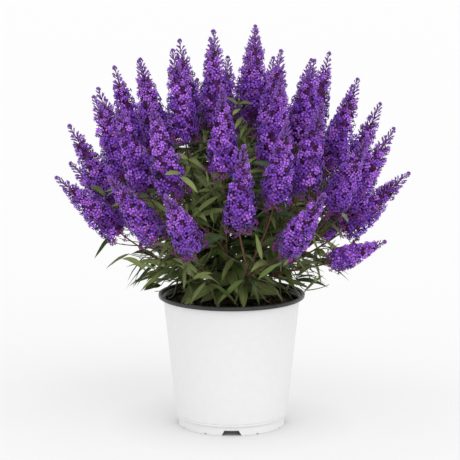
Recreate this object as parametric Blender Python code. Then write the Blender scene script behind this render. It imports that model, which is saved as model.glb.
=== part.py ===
"""Butterfly bush in its nursery pot, worked out from named sizes.

Stems fan out from one point on the soil. Every stem carries one mass: a forked shoot
with pairs of leaves, and cone-shaped flower heads whose tips lie on a dome.
Metres, +Z up, the camera side of the plant is -Y, the origin is under the pot's middle.
"""
from math import cos, pi, radians, sin, sqrt

import bmesh
import bpy
import numpy as np

# Pot
RIM_DIAMETER = 0.236
RIM_WIDTH = 0.0048
RIM_HEIGHT = 0.0060
POT_HEIGHT = 0.215
BODY_TOP_DIAMETER = 0.220
BODY_FOOT_DIAMETER = 0.180
FOOT_RING_DIAMETER = 0.174
FOOT_RING_HEIGHT = 0.0144
FOOT_RING_WALL = 0.0026
WALL = 0.0016
FLOOR = 0.0022
PAD_DIAMETER = 0.120
PAD_SLOPE = 0.005
GUTTER_HEIGHT = 0.0085
LINER_WALL = 0.0012
LINER_DEPTH = 0.027
POT_SIDES = 40
GAP = 0.0003

# Openings cut in the pot's foot
NOTCH_COUNT = 4
NOTCH_WIDTH = 0.0326
NOTCH_TOP_WIDTH = 0.0226
NOTCH_HEIGHT = 0.0088
SLIT_TURN = 28.5
SLIT_WIDTH = 0.0045
SLIT_HEIGHT = 0.0022
DRAIN_COUNT = 6
DRAIN_DIAMETER = 0.010
DRAIN_CIRCLE = 0.148
DRAIN_SIDES = 8

# Soil and the woody foot of the plant
SOIL_DEPTH = 0.015
CROWN_FOOT_RADIUS = 0.026
CROWN_FOOT_SIDES = 20
CROWN_FOOT_STEPS = 4

# Boughs: name, lean from upright and count in each ring, first turn from the front, in degrees
BOUGH_RINGS = (
    ("inner", 20.0, 3, -45.0),
    ("middle", 37.0, 7, -6.0),
    ("outer", 57.0, 9, -25.0),
)
BOUGH_REACH = 0.078
BOUGH_FOOT_RADIUS = 0.0031
BOUGH_TIP_RADIUS = 0.0022
BOUGH_SIDES = 6

# Flower heads: lean of the ray to each tip from upright in degrees, size against the usual head,
# and the turns of the tier's heads from the front in degrees
HEAD_TIERS = (
    (8.0, 1.03, (-27, 38, 142)),
    (18.0, 1.00, (-42, 34, -165, -141)),
    (22.0, 0.95, (-61, 52, 104)),
    (26.0, 0.96, (-88, 24, 135, 158, -178, -154, -125)),
    (29.0, 1.00, (-4, 77)),
    (33.5, 1.00, (-72, -51, -32, 37, 118, 146, 171, -165, -139, -106)),
    (37.0, 1.00, (20, 97)),
    (42.0, 0.98, (-90, 4, 53, 81, 133, 158, -177, -152, -123)),
    (50.0, 0.98, (-41,)),
    (53.0, 0.96, (-76, -20, 29, 86, 116, 144, 168, -164, -138, -110)),
    (66.0, 0.68, (55, 130, -150)),
)
DOME_RADIUS = 0.289
DOME_RISE = 0.161
HEAD_LENGTH = 0.146
HEAD_RADIUS = 0.0265
HEAD_SIDES = 6
HEAD_TWIST = 3.0
HEAD_SPREAD = 0.06
HEAD_PROFILE = (
    (0.02, 0.38),
    (0.10, 0.90),
    (0.25, 1.00),
    (0.52, 0.80),
    (0.78, 0.56),
    (0.95, 0.26),
)
UPRIGHT_SHARE = 0.60
SPREAD_START = 30.0
SPREAD_END = 65.0

# Low leafy shoots without blossom on each outer stem: lean, reach and turn from the stem's own
SKIRT_SHOOTS = (
    (80.0, 0.128, -13.0),
    (80.0, 0.128, 13.0),
    (67.0, 0.168, 2.0),
)

# Shoots and leaves
FORK_SHARE = 0.8
FORK_PULL = 2.0
SHOOT_FOOT_RADIUS = 0.0022
SHOOT_TIP_RADIUS = 0.0015
SHOOT_STEPS = 3
LEAVE_SHARE = 0.40
ARRIVE_SHARE = 0.35
HEAD_HOLD = 0.10
LEAF_PITCH = 0.034
LAST_NODE = 0.85
LEAF_LENGTH = 0.076
LEAF_WIDTH = 0.018
LEAF_THICKNESS = 0.0026
LEAF_TRIES = ((1.0, 62.0), (0.9, 45.0), (0.75, 60.0), (0.8, 30.0), (0.6, 50.0))
LEAF_LENGTHS = (0.80, 1.10)
LEAF_DROOP = 0.22
LEAF_DROOPS = (0.50, 1.50)
LEAF_MIDDLE = 0.42
LEAF_FACES = ((0, 2, 3), (0, 3, 4), (0, 4, 2), (1, 3, 2), (1, 4, 3), (1, 2, 4))
LEAF_OVERLAP = 0.1
MASS_MARGIN = 0.0012
POT_MARGIN = 0.0025

# Leaves hang this far below the rim at the sides, and stay this much higher in front
HANG = 0.010
FRONT_LIFT = 0.020
SEED = 11
LEAF_SEED = 16

POT_WHITE = (0.83, 0.83, 0.82, 1.0)
RIM_DARK = (0.045, 0.045, 0.042, 1.0)
MIX_BROWN = (0.020, 0.015, 0.010, 1.0)
BARK_BROWN = (0.130, 0.070, 0.040, 1.0)
LEAF_GREEN = (0.090, 0.115, 0.045, 1.0)
BLOSSOM_VIOLET = (0.190, 0.070, 0.400, 1.0)

SOIL_LEVEL = POT_HEIGHT - SOIL_DEPTH
BODY_TOP = POT_HEIGHT - RIM_HEIGHT - GAP
FAN_POINT = np.array((0.0, 0.0, SOIL_LEVEL + GAP))


def make_material(name, color, roughness):
    material = bpy.data.materials.new(name)
    material.use_nodes = True
    shader = material.node_tree.nodes["Principled BSDF"]
    shader.inputs["Base Color"].default_value = color
    shader.inputs["Roughness"].default_value = roughness
    shader.inputs["Metallic"].default_value = 0.0
    material.diffuse_color = color
    return material


def add_object(name, verts, faces, material):
    mesh = bpy.data.meshes.new(name)
    mesh.from_pydata([tuple(map(float, vert)) for vert in verts], [], faces)
    mesh.materials.append(material)
    work = bmesh.new()
    work.from_mesh(mesh)
    bmesh.ops.recalc_face_normals(work, faces=work.faces)
    work.to_mesh(mesh)
    work.free()
    obj = bpy.data.objects.new(name, mesh)
    bpy.context.scene.collection.objects.link(obj)
    return obj


def unit(vector):
    return vector / np.linalg.norm(vector)


def direction(lean, turn):
    """Unit vector that leans from upright by lean, towards turn from the front, in degrees."""
    lean, turn = radians(lean), radians(turn)
    return np.array((sin(lean) * sin(turn), -sin(lean) * cos(turn), cos(lean)))


# Pot solids

def body_radius(height):
    """Outer radius of the pot's wall at a height over the ground."""
    share = (height - FOOT_RING_HEIGHT) / (BODY_TOP - FOOT_RING_HEIGHT)
    return (BODY_FOOT_DIAMETER + share * (BODY_TOP_DIAMETER - BODY_FOOT_DIAMETER)) / 2


def turned(name, profile, material, sides=POT_SIDES, closed=False):
    """Profile of radius and height pairs turned round Z; an open one starts and ends on Z."""
    verts = []
    rings = []
    for radius, height in profile:
        if radius == 0:
            rings.append([len(verts)] * sides)
            verts.append((0, 0, height))
            continue
        rings.append([len(verts) + side for side in range(sides)])
        for side in range(sides):
            angle = 2 * pi * (side + 0.5) / sides
            verts.append((radius * cos(angle), radius * sin(angle), height))
    pairs = list(zip(rings, rings[1:]))
    if closed:
        pairs.append((rings[-1], rings[0]))
    faces = []
    for low, high in pairs:
        for side in range(sides):
            after = (side + 1) % sides
            corners = (low[side], low[after], high[after], high[side])
            faces.append(tuple(dict.fromkeys(corners)))
    obj = add_object(name, verts, faces, material)
    obj.data.shade_smooth()
    obj.data.set_sharp_from_angle(angle=radians(30))
    return obj


def prism(name, outline, turn, near, far, material):
    """Outline of sideways and upward pairs, drawn facing a turn, from one radius to another."""
    out = direction(90, turn)
    side = np.array((-out[1], out[0], 0))
    up = np.array((0, 0, 1))
    verts = [out * reach + side * x + up * z for reach in (near, far) for x, z in outline]
    count = len(outline)
    faces = [tuple(range(count)), tuple(range(count, 2 * count))]
    for corner in range(count):
        after = (corner + 1) % count
        faces.append((corner, after, count + after, count + corner))
    return add_object(name, verts, faces, material)


def notch_outline():
    """Trapezium that is narrower at its top, its sides drawn on down below the ground."""
    narrow = NOTCH_TOP_WIDTH / 2
    below = NOTCH_WIDTH - narrow
    return [(-below, -NOTCH_HEIGHT), (below, -NOTCH_HEIGHT), (narrow, NOTCH_HEIGHT), (-narrow, NOTCH_HEIGHT)]


def slit_outline():
    """Slit with its upper corners cut off, its sides drawn on down below the ground."""
    half = SLIT_WIDTH / 2
    foot = [(-half, -SLIT_HEIGHT), (half, -SLIT_HEIGHT), (half, SLIT_HEIGHT / 2)]
    return foot + [(half / 2, SLIT_HEIGHT), (-half / 2, SLIT_HEIGHT), (-half, SLIT_HEIGHT / 2)]


def drain_cutter(turn, material):
    """Short round bar through the gutter's floor, away from the middle towards a turn."""
    radius = DRAIN_DIAMETER / 2
    low, high = 0.5 * GUTTER_HEIGHT, 2 * GUTTER_HEIGHT
    profile = ((0, low), (radius, low), (radius, high), (0, high))
    bar = turned("drain_cutter", profile, material, sides=DRAIN_SIDES)
    bar.location = tuple(DRAIN_CIRCLE / 2 * direction(90, turn))
    return bar


def combine(obj, tools, operation):
    """Boolean of an object with a collection of tools, applied, and the tools removed."""
    group = bpy.data.collections.new(obj.name + "_tools")
    for tool in tools:
        group.objects.link(tool)
        tool.hide_render = True
        tool.display_type = "WIRE"
    modifier = obj.modifiers.new(operation.title(), "BOOLEAN")
    modifier.operation = operation
    modifier.operand_type = "COLLECTION"
    modifier.collection = group
    modifier.solver = "EXACT"
    modifier.material_mode = "TRANSFER"
    graph = bpy.context.evaluated_depsgraph_get()
    result = bpy.data.meshes.new_from_object(obj.evaluated_get(graph))
    obj.modifiers.clear()
    obj.data = result
    for tool in tools:
        bpy.data.objects.remove(tool)
    bpy.data.collections.remove(group)


def make_pot_body(material):
    pad = PAD_DIAMETER / 2
    ring = FOOT_RING_DIAMETER / 2
    ring_inside = ring - FOOT_RING_WALL
    floor_top = GUTTER_HEIGHT + FLOOR
    profile = (
        (0, 0),
        (pad, 0),
        (pad + PAD_SLOPE, GUTTER_HEIGHT),
        (ring_inside, GUTTER_HEIGHT),
        (ring_inside, 0),
        (ring, 0),
        (ring, FOOT_RING_HEIGHT),
        (body_radius(FOOT_RING_HEIGHT), FOOT_RING_HEIGHT),
        (body_radius(BODY_TOP), BODY_TOP),
        (body_radius(BODY_TOP) - WALL, BODY_TOP),
        (body_radius(floor_top) - FOOT_RING_WALL - WALL, floor_top),
        (pad + PAD_SLOPE - FLOOR / 2, floor_top),
        (pad - FLOOR / 2, FLOOR),
        (0, FLOOR),
    )
    pot = turned("pot_body", profile, material)
    near = ring_inside - FOOT_RING_WALL
    far = ring + FOOT_RING_WALL
    tools = []
    for index in range(NOTCH_COUNT):
        turn = 360 * index / NOTCH_COUNT
        tools.append(prism("notch_cutter", notch_outline(), turn, near, far, material))
        for side in (-1, 1):
            tools.append(prism("slit_cutter", slit_outline(), turn + side * SLIT_TURN, near, far, material))
    for index in range(DRAIN_COUNT):
        tools.append(drain_cutter(360 * (index + 0.5) / DRAIN_COUNT, material))
    combine(pot, tools, "DIFFERENCE")


def liner_radius(height):
    """Outer radius of the dark band inside the wall."""
    return body_radius(height) - WALL - GAP


def make_pot_rim(material):
    outer = RIM_DIAMETER / 2
    inner = outer - RIM_WIDTH
    under = POT_HEIGHT - RIM_HEIGHT
    round_off = RIM_HEIGHT / 5
    foot = POT_HEIGHT - LINER_DEPTH
    profile = (
        (inner, POT_HEIGHT - round_off),
        (inner + round_off, POT_HEIGHT),
        (outer - round_off, POT_HEIGHT),
        (outer, POT_HEIGHT - round_off),
        (outer, under + round_off),
        (outer - round_off, under),
        (liner_radius(BODY_TOP), under),
        (liner_radius(foot), foot),
        (liner_radius(foot) - LINER_WALL, foot),
        (liner_radius(BODY_TOP) - LINER_WALL, under),
    )
    turned("pot_rim", profile, material, closed=True)


def make_potting_mix(material):
    liner_foot = POT_HEIGHT - LINER_DEPTH - GAP
    floor_top = GUTTER_HEIGHT + FLOOR
    pad = PAD_DIAMETER / 2
    inside = liner_radius(liner_foot) - LINER_WALL - GAP
    profile = (
        (0, FLOOR + GAP),
        (pad - FLOOR / 2 - GAP, FLOOR + GAP),
        (pad + PAD_SLOPE - FLOOR / 2 - GAP, floor_top + GAP),
        (body_radius(floor_top) - FOOT_RING_WALL - WALL - GAP, floor_top + GAP),
        (liner_radius(liner_foot), liner_foot),
        (inside, liner_foot),
        (liner_radius(SOIL_LEVEL) - LINER_WALL - GAP, SOIL_LEVEL),
        (0, SOIL_LEVEL),
    )
    turned("potting_mix", profile, material)


# Foot, boughs and shoots

def make_root_crown(material):
    """Low woody foot: part of a ball round the fan point, cut flat just over the soil."""
    profile = [(0, 0)]
    for step in range(CROWN_FOOT_STEPS):
        angle = pi / 2 * step / CROWN_FOOT_STEPS
        profile.append((CROWN_FOOT_RADIUS * cos(angle), CROWN_FOOT_RADIUS * sin(angle)))
    profile.append((0, CROWN_FOOT_RADIUS))
    lifted = [(radius, height + FAN_POINT[2]) for radius, height in profile]
    turned("root_crown", lifted, material, sides=CROWN_FOOT_SIDES)


def frame_across(axis):
    """Two unit vectors across an axis and across each other."""
    side = unit(np.cross(axis, (0.31, 0.17, 0.93) if abs(axis[2]) < 0.9 else (0.93, 0.31, 0.17)))
    return side, np.cross(axis, side)


def tube(name, points, radii, sides, material):
    """Round limb through points, its radius given at each, with flat ends square to its way."""
    verts = []
    faces = []
    start_side, _ = frame_across(unit(points[-1] - points[0]))
    for place, radius, way in zip(points, radii, np.gradient(points, axis=0, edge_order=2)):
        way = unit(way)
        side = unit(start_side - (start_side @ way) * way)
        over = np.cross(way, side)
        for index in range(sides):
            angle = 2 * pi * index / sides
            verts.append(place + radius * (cos(angle) * side + sin(angle) * over))
    for ring in range(len(points) - 1):
        for index in range(sides):
            low = ring * sides + index
            after = ring * sides + (index + 1) % sides
            faces.append((low, after, after + sides, low + sides))
    faces.append(tuple(range(sides)))
    faces.append(tuple(range(len(verts) - sides, len(verts))))
    return add_object(name, verts, faces, material)


def bough_plan():
    """Name, lean and turn of every bough, ring by ring."""
    plan = []
    for name, lean, count, first in BOUGH_RINGS:
        for index in range(count):
            plan.append((f"{name}_{index + 1}", lean, first + 360 * index / count))
    return plan


def dome_reach(lean):
    """Distance from the fan point to the dome along a ray: the root of a circle's equation."""
    rise = DOME_RISE * cos(radians(lean))
    across = DOME_RISE * sin(radians(lean))
    return rise + sqrt(DOME_RADIUS ** 2 - across ** 2)


def head_lean(lean):
    """Lean of a head's own axis: more upright than its ray, up to where the rays lie low."""
    share = min(max((lean - SPREAD_START) / (SPREAD_END - SPREAD_START), 0), 1)
    share = share * share * (3 - 2 * share)
    return lean * (UPRIGHT_SHARE + (1 - UPRIGHT_SHARE) * share)


def head_plan():
    """Foot, axis, length and radius of every flower head."""
    rays = [(lean, size, turn) for lean, size, turns in HEAD_TIERS for turn in turns]
    jitter = np.random.default_rng(SEED).uniform(-1, 1, (len(rays), 3))
    heads = []
    for (lean, size, turn), wobble in zip(rays, jitter):
        tip = FAN_POINT + dome_reach(lean) * direction(lean, turn)
        axis = direction(head_lean(lean), turn + HEAD_TWIST * wobble[0])
        length = size * HEAD_LENGTH * (1 + HEAD_SPREAD * wobble[1])
        radius = size * HEAD_RADIUS * (1 + HEAD_SPREAD * wobble[2])
        heads.append((tip - length * axis, axis, length, radius))
    return heads


def shoot_path(start, heading, end, axis):
    """Cubic curve that leaves along heading and arrives along axis."""
    reach = np.linalg.norm(end - start)
    first = start + LEAVE_SHARE * reach * heading
    second = end - ARRIVE_SHARE * reach * axis
    share = np.linspace(0, 1, SHOOT_STEPS + 1)[:, None]
    rest = 1 - share
    near = rest ** 3 * start + 3 * rest ** 2 * share * first
    return near + 3 * rest * share ** 2 * second + share ** 3 * end


def plan_masses():
    """For each bough: its line, its mass's stem, the shoots and the heads that they carry."""
    masses = []
    for name, lean, turn in bough_plan():
        heading = direction(lean, turn)
        foot = FAN_POINT + (CROWN_FOOT_RADIUS + GAP) * heading
        tip = FAN_POINT + BOUGH_REACH * heading
        masses.append({"name": name, "turn": turn, "heading": heading, "bough": (foot, tip),
                       "stem": tip + GAP * heading, "heads": [], "shoots": []})
    for head in head_plan():
        ray = unit(head[0] - FAN_POINT)
        nearest = max(masses, key=lambda mass: float(mass["heading"] @ ray))
        nearest["heads"].append(head)
    for mass in masses:
        ends = [(head[0] + HEAD_HOLD * head[2] * head[1], head[1]) for head in mass["heads"]]
        ends.sort(key=lambda goal: -float(unit(goal[0] - mass["stem"]) @ mass["heading"]))
        if mass["name"].startswith("outer"):
            for lean, reach, turn in SKIRT_SHOOTS:
                low = direction(lean, mass["turn"] + turn)
                ends.append((FAN_POINT + reach * low, low))
        leader = shoot_path(mass["stem"], mass["heading"], *ends[0])
        mass["shoots"].append(leader)
        for index, (goal, axis) in enumerate(ends[1:]):
            leave = leader[0] + FORK_SHARE * (index + 1) / len(ends) * (leader[1] - leader[0])
            heading = unit(mass["heading"] + FORK_PULL * unit(goal - leave))
            mass["shoots"].append(shoot_path(leave, heading, goal, axis))
    return masses


# Room of each mass: distance to the lines of every owner, less the thickness there

def capsules(masses):
    """Start, end, two radii and owner of every line in the plant."""
    rows = []
    for owner, mass in enumerate(masses):
        for path in mass["shoots"]:
            for low, high in zip(path, path[1:]):
                rows.append((low, high, SHOOT_FOOT_RADIUS, SHOOT_FOOT_RADIUS, owner))
        for foot, axis, length, radius in mass["heads"]:
            for (low, wide), (high, narrow) in zip(HEAD_PROFILE, HEAD_PROFILE[1:]):
                rows.append((foot + low * length * axis, foot + high * length * axis,
                             wide * radius, narrow * radius, owner))
        foot, tip = mass["bough"]
        rows.append((foot, tip, BOUGH_FOOT_RADIUS, BOUGH_TIP_RADIUS, len(masses) + owner))
    starts, ends, first, second, owners = zip(*rows)
    return np.array(starts), np.array(ends), np.array(first), np.array(second), np.array(owners)


def clearances(points, lines):
    """Distance from each point to each line's surface."""
    starts, ends, first, second, _ = lines
    along = ends - starts
    share = np.einsum("pli,li->pl", points[:, None, :] - starts, along)
    share = np.clip(share / np.sum(along ** 2, axis=1), 0, 1)
    near = starts + share[:, :, None] * along
    return np.linalg.norm(points[:, None, :] - near, axis=2) - (first + share * (second - first))


def keeps_to_room(points, owner, lines):
    """True where every point lies nearer to its own mass than to any other solid of the plant."""
    gaps = clearances(points, lines)
    own = lines[4] == owner
    nearest_own = np.min(gaps[:, own], axis=1)
    nearest_other = np.min(gaps[:, ~own], axis=1)
    return bool(np.all(nearest_other - nearest_own > MASS_MARGIN))


def clear_of_own(points, owner, lines, leaves):
    """True where a leaf's outer points stand off its own mass's heads and earlier leaves."""
    starts, ends, first, second, owners = lines
    heads = (owners == owner) & (first > 2 * SHOOT_FOOT_RADIUS)
    gaps = clearances(points, (starts[heads], ends[heads], first[heads], second[heads], None))
    if gaps.size and np.min(gaps) < LEAF_THICKNESS:
        return False
    return all(np.min(np.linalg.norm(points[:, None] - leaf, axis=2)) > LEAF_WIDTH / 3 for leaf in leaves)


def clear_of_pot(points):
    """True where the points lie over the rim, outside it, or over the soil inside it."""
    radius = np.linalg.norm(points[:, :2], axis=1)
    height = points[:, 2]
    lift = -FRONT_LIFT * points[:, 1] / radius
    over = height > POT_HEIGHT + POT_MARGIN + np.maximum(lift, 0)
    outside = (radius > RIM_DIAMETER / 2 + POT_MARGIN) & (height > POT_HEIGHT - HANG + lift)
    within = liner_radius(SOIL_LEVEL) - LINER_WALL - POT_MARGIN
    inside = (radius < within) & (height > SOIL_LEVEL + POT_MARGIN)
    return bool(np.all(over | outside | inside))


# Leaves and flower heads

def leaf_shape(node, heading, side, angle, length, droop):
    """Five corners of a leaf: foot, tip, two edges and the keel under its middle."""
    angle = radians(angle)
    along = unit(cos(angle) * heading + sin(angle) * side)
    across = unit(np.cross(heading, side))
    over = np.cross(across, along)
    over = over if over @ heading > 0 else -over
    middle = node + LEAF_MIDDLE * length * along
    half = LEAF_WIDTH / 2 * length / LEAF_LENGTH
    tip = node + length * along - droop * length * np.array((0, 0, 1))
    foot = node - LEAF_OVERLAP * SHOOT_FOOT_RADIUS * along
    return np.array((foot, tip, middle + half * across, middle - half * across,
                     middle - LEAF_THICKNESS * over))


def leaf_samples(corners):
    """Points over the leaf's outer part, and over the part near its foot."""
    foot, tip, *middle = corners
    outer = [tip, *middle]
    outer += [tip + share * (corner - tip) for share in (0.35, 0.7) for corner in middle]
    outer += [foot + 0.7 * (corner - foot) for corner in middle]
    inner = [foot + 0.35 * (corner - foot) for corner in middle]
    return np.array(outer), np.array(inner)


def leaf_nodes(path):
    """Places along a shoot for pairs of leaves, with the shoot's heading there."""
    steps = np.linalg.norm(np.diff(path, axis=0), axis=1)
    travelled = np.concatenate(([0], np.cumsum(steps)))
    count = max(int(travelled[-1] / LEAF_PITCH), 1)
    nodes = []
    for index in range(count):
        goal = travelled[-1] * (index + LAST_NODE) / count
        place = np.array([np.interp(goal, travelled, path[:, axis]) for axis in range(3)])
        step = min(int(np.searchsorted(travelled, goal)), len(steps)) - 1
        nodes.append((place, unit(path[step + 1] - path[step])))
    return nodes


def make_head(name, head, material):
    """Turned cone with a round foot, its rings set half a step round from each other."""
    foot, axis, length, radius = head
    side, over = frame_across(axis)
    verts = [foot]
    for ring, (share, wide) in enumerate(HEAD_PROFILE):
        for index in range(HEAD_SIDES):
            angle = 2 * pi * (index + 0.5 * (ring % 2)) / HEAD_SIDES
            verts.append(foot + share * length * axis
                         + wide * radius * (cos(angle) * side + sin(angle) * over))
    verts.append(foot + length * axis)
    faces = []
    last = len(verts) - 1
    rings = len(HEAD_PROFILE)
    for index in range(HEAD_SIDES):
        after = (index + 1) % HEAD_SIDES
        faces.append((0, 1 + index, 1 + after))
        top = 1 + (rings - 1) * HEAD_SIDES
        faces.append((top + index, last, top + after))
        for ring in range(rings - 1):
            low = 1 + ring * HEAD_SIDES
            high = low + HEAD_SIDES
            if ring % 2 == 0:
                faces.append((low + index, high + index, low + after))
                faces.append((low + after, high + index, high + after))
            else:
                faces.append((low + index, high + index, high + after))
                faces.append((low + index, high + after, low + after))
    return add_object(name, verts, faces, material)


def keep_main_shell(obj):
    """Keep the largest closed skin, so that sealed hollows are filled and loose scraps dropped."""
    work = bmesh.new()
    work.from_mesh(obj.data)
    bmesh.ops.remove_doubles(work, verts=work.verts, dist=1e-6)
    bmesh.ops.triangulate(work, faces=work.faces)
    todo = set(work.faces)
    shells = []
    while todo:
        seed = todo.pop()
        shell = {seed}
        front = [seed]
        while front:
            for edge in front.pop().edges:
                for face in edge.link_faces:
                    if face in todo:
                        todo.discard(face)
                        shell.add(face)
                        front.append(face)
        shells.append(shell)
    shells.sort(key=len)
    for shell in shells[:-1]:
        bmesh.ops.delete(work, geom=list(shell), context="FACES")
    loose = [vert for vert in work.verts if not vert.link_faces]
    bmesh.ops.delete(work, geom=loose, context="VERTS")
    work.to_mesh(obj.data)
    work.free()


def make_mass(owner, mass, lines, materials):
    """One mass: its stem, shoots, leaves and heads, fused into one solid."""
    bark, green, violet = materials
    parts = []
    leaves = []
    random = np.random.default_rng((LEAF_SEED, owner))
    for path in mass["shoots"]:
        radii = np.linspace(SHOOT_FOOT_RADIUS, SHOOT_TIP_RADIUS, len(path))
        parts.append(tube("mass_" + mass["name"], path, radii, 3, bark))
        side, over = frame_across(unit(path[-1] - path[0]))
        first = random.uniform(0, pi)
        for index, (node, heading) in enumerate(leaf_nodes(path)):
            for half_turn in (0, pi):
                angle = first + index * pi / 2 + half_turn
                length = LEAF_LENGTH * random.uniform(*LEAF_LENGTHS)
                droop = LEAF_DROOP * random.uniform(*LEAF_DROOPS)
                level = cos(angle) * side + sin(angle) * over
                level = unit(level - (level @ heading) * heading)
                for share, lean_out in LEAF_TRIES:
                    corners = leaf_shape(node, heading, level, lean_out, share * length, droop)
                    outer, inner = leaf_samples(corners)
                    whole = np.concatenate((outer, inner))
                    if (keeps_to_room(whole, owner, lines) and clear_of_pot(whole)
                            and clear_of_own(outer, owner, lines, leaves)):
                        parts.append(add_object("leaf", corners, LEAF_FACES, green))
                        leaves.append(outer)
                        break
    for head in mass["heads"]:
        parts.append(make_head("head", head, violet))
    combine(parts[0], parts[1:], "UNION")
    keep_main_shell(parts[0])


def main():
    for obj in list(bpy.data.objects):
        bpy.data.objects.remove(obj)
    bark = make_material("bark", BARK_BROWN, 0.85)
    green = make_material("leaf", LEAF_GREEN, 0.6)
    violet = make_material("blossom", BLOSSOM_VIOLET, 0.7)
    make_pot_body(make_material("pot_white", POT_WHITE, 0.45))
    make_pot_rim(make_material("rim_dark", RIM_DARK, 0.5))
    make_potting_mix(make_material("mix_brown", MIX_BROWN, 0.95))
    make_root_crown(bark)
    masses = plan_masses()
    for mass in masses:
        tube("bough_" + mass["name"], np.linspace(*mass["bough"], 3),
             np.linspace(BOUGH_FOOT_RADIUS, BOUGH_TIP_RADIUS, 3), BOUGH_SIDES, bark)
    lines = capsules(masses)
    for owner, mass in enumerate(masses):
        make_mass(owner, mass, lines, (bark, green, violet))


if __name__ == "__main__":
    main()
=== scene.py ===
"""Butterfly bush in its nursery pot: bark, shoots, leaves, blossom, soil and moulded pot.

The shoots, leaves and flower heads follow the rule of the solids, carried on to finer twigs.
Metres, +Z up, the front is -Y, the origin is under the pot's middle.
"""
from math import cos, pi, radians, sin, sqrt

import bpy
import numpy as np
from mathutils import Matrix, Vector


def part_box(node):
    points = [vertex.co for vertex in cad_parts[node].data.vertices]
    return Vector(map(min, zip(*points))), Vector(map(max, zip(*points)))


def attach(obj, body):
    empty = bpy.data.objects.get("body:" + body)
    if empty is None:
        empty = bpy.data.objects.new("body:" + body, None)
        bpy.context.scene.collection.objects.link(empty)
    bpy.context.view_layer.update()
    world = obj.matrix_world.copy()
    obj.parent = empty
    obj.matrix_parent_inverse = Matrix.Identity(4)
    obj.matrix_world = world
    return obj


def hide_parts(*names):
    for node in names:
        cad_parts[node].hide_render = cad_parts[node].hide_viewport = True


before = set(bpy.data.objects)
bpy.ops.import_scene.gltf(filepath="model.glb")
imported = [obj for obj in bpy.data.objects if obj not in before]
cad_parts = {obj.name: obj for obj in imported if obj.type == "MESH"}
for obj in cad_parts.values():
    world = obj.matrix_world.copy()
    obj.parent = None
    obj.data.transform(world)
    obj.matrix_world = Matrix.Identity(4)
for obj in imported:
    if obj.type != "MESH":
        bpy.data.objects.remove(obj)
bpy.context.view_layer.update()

bl_info = {
    "name": "Butterfly bush in a pot",
    "version": (1, 0, 0),
    "blender": (4, 5, 0),
    "location": "View3D > Sidebar > Bush",
    "description": "Builds a flowering butterfly bush and its nursery pot",
    "category": "Add Mesh",
}

# Places taken from the solids
RIM_LOW, RIM_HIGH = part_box("pot_rim")
BODY_LOW, BODY_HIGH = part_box("pot_body")
SOIL_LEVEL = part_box("potting_mix")[1][2]
MASS_NODES = sorted(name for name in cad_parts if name.startswith("mass_"))
WOOD_NODES = sorted(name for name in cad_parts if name.startswith("bough_")) + ["root_crown"]

# Pot
RIM_DIAMETER = 0.236
RIM_WIDTH = 0.0048
RIM_HEIGHT = 0.0060
POT_HEIGHT = 0.215
BODY_TOP_DIAMETER = 0.220
BODY_FOOT_DIAMETER = 0.180
FOOT_RING_DIAMETER = 0.174
FOOT_RING_HEIGHT = 0.0144
FOOT_RING_WALL = 0.0026
WALL = 0.0016
FLOOR = 0.0022
PAD_DIAMETER = 0.120
PAD_SLOPE = 0.005
GUTTER_HEIGHT = 0.0085
LINER_WALL = 0.0012
LINER_DEPTH = 0.027
GAP = 0.0003
NOTCH_COUNT = 4
NOTCH_WIDTH = 0.0326
NOTCH_TOP_WIDTH = 0.0226
NOTCH_HEIGHT = 0.0088
SLIT_TURN = 28.5
SLIT_WIDTH = 0.0045
SLIT_HEIGHT = 0.0022
DRAIN_COUNT = 6
DRAIN_DIAMETER = 0.010
DRAIN_CIRCLE = 0.148
CROWN_FOOT_RADIUS = 0.026

# Boughs: name, lean from upright and count in each ring, first turn from the front, in degrees
BOUGH_RINGS = (
    ("inner", 20.0, 3, -45.0),
    ("middle", 37.0, 7, -6.0),
    ("outer", 57.0, 9, -25.0),
)
BOUGH_REACH = 0.078
BOUGH_FOOT_RADIUS = 0.0031
BOUGH_TIP_RADIUS = 0.0022

# Flower heads: lean of the ray to each tip, size against the usual head, turns from the front
HEAD_TIERS = (
    (8.0, 1.03, (-27, 38, 142)),
    (18.0, 1.00, (-42, 34, -165, -141)),
    (22.0, 0.95, (-61, 52, 104)),
    (26.0, 0.96, (-88, 24, 135, 158, -178, -154, -125)),
    (29.0, 1.00, (-4, 77)),
    (33.5, 1.00, (-72, -51, -32, 37, 118, 146, 171, -165, -139, -106)),
    (37.0, 1.00, (20, 97)),
    (42.0, 0.98, (-90, 4, 53, 81, 133, 158, -177, -152, -123)),
    (50.0, 0.98, (-41,)),
    (53.0, 0.96, (-76, -20, 29, 86, 116, 144, 168, -164, -138, -110)),
    (66.0, 0.68, (55, 130, -150)),
)
DOME_RADIUS = 0.289
DOME_RISE = 0.161
HEAD_LENGTH = 0.146
HEAD_RADIUS = 0.0265
HEAD_TWIST = 3.0
HEAD_SPREAD = 0.06
HEAD_STATIONS = (0.0, 0.02, 0.10, 0.25, 0.52, 0.78, 0.95, 1.0)
HEAD_WIDTHS = (0.10, 0.38, 0.90, 1.00, 0.80, 0.56, 0.26, 0.0)
UPRIGHT_SHARE = 0.60
SPREAD_START = 30.0
SPREAD_END = 65.0
SKIRT_SHOOTS = (
    (80.0, 0.128, -13.0),
    (80.0, 0.128, 13.0),
    (67.0, 0.168, 2.0),
)
FORK_SHARE = 0.8
FORK_PULL = 2.0
LEAVE_SHARE = 0.40
ARRIVE_SHARE = 0.35
HEAD_HOLD = 0.10
SHOOT_STEPS = 3
SEED = 11

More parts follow.
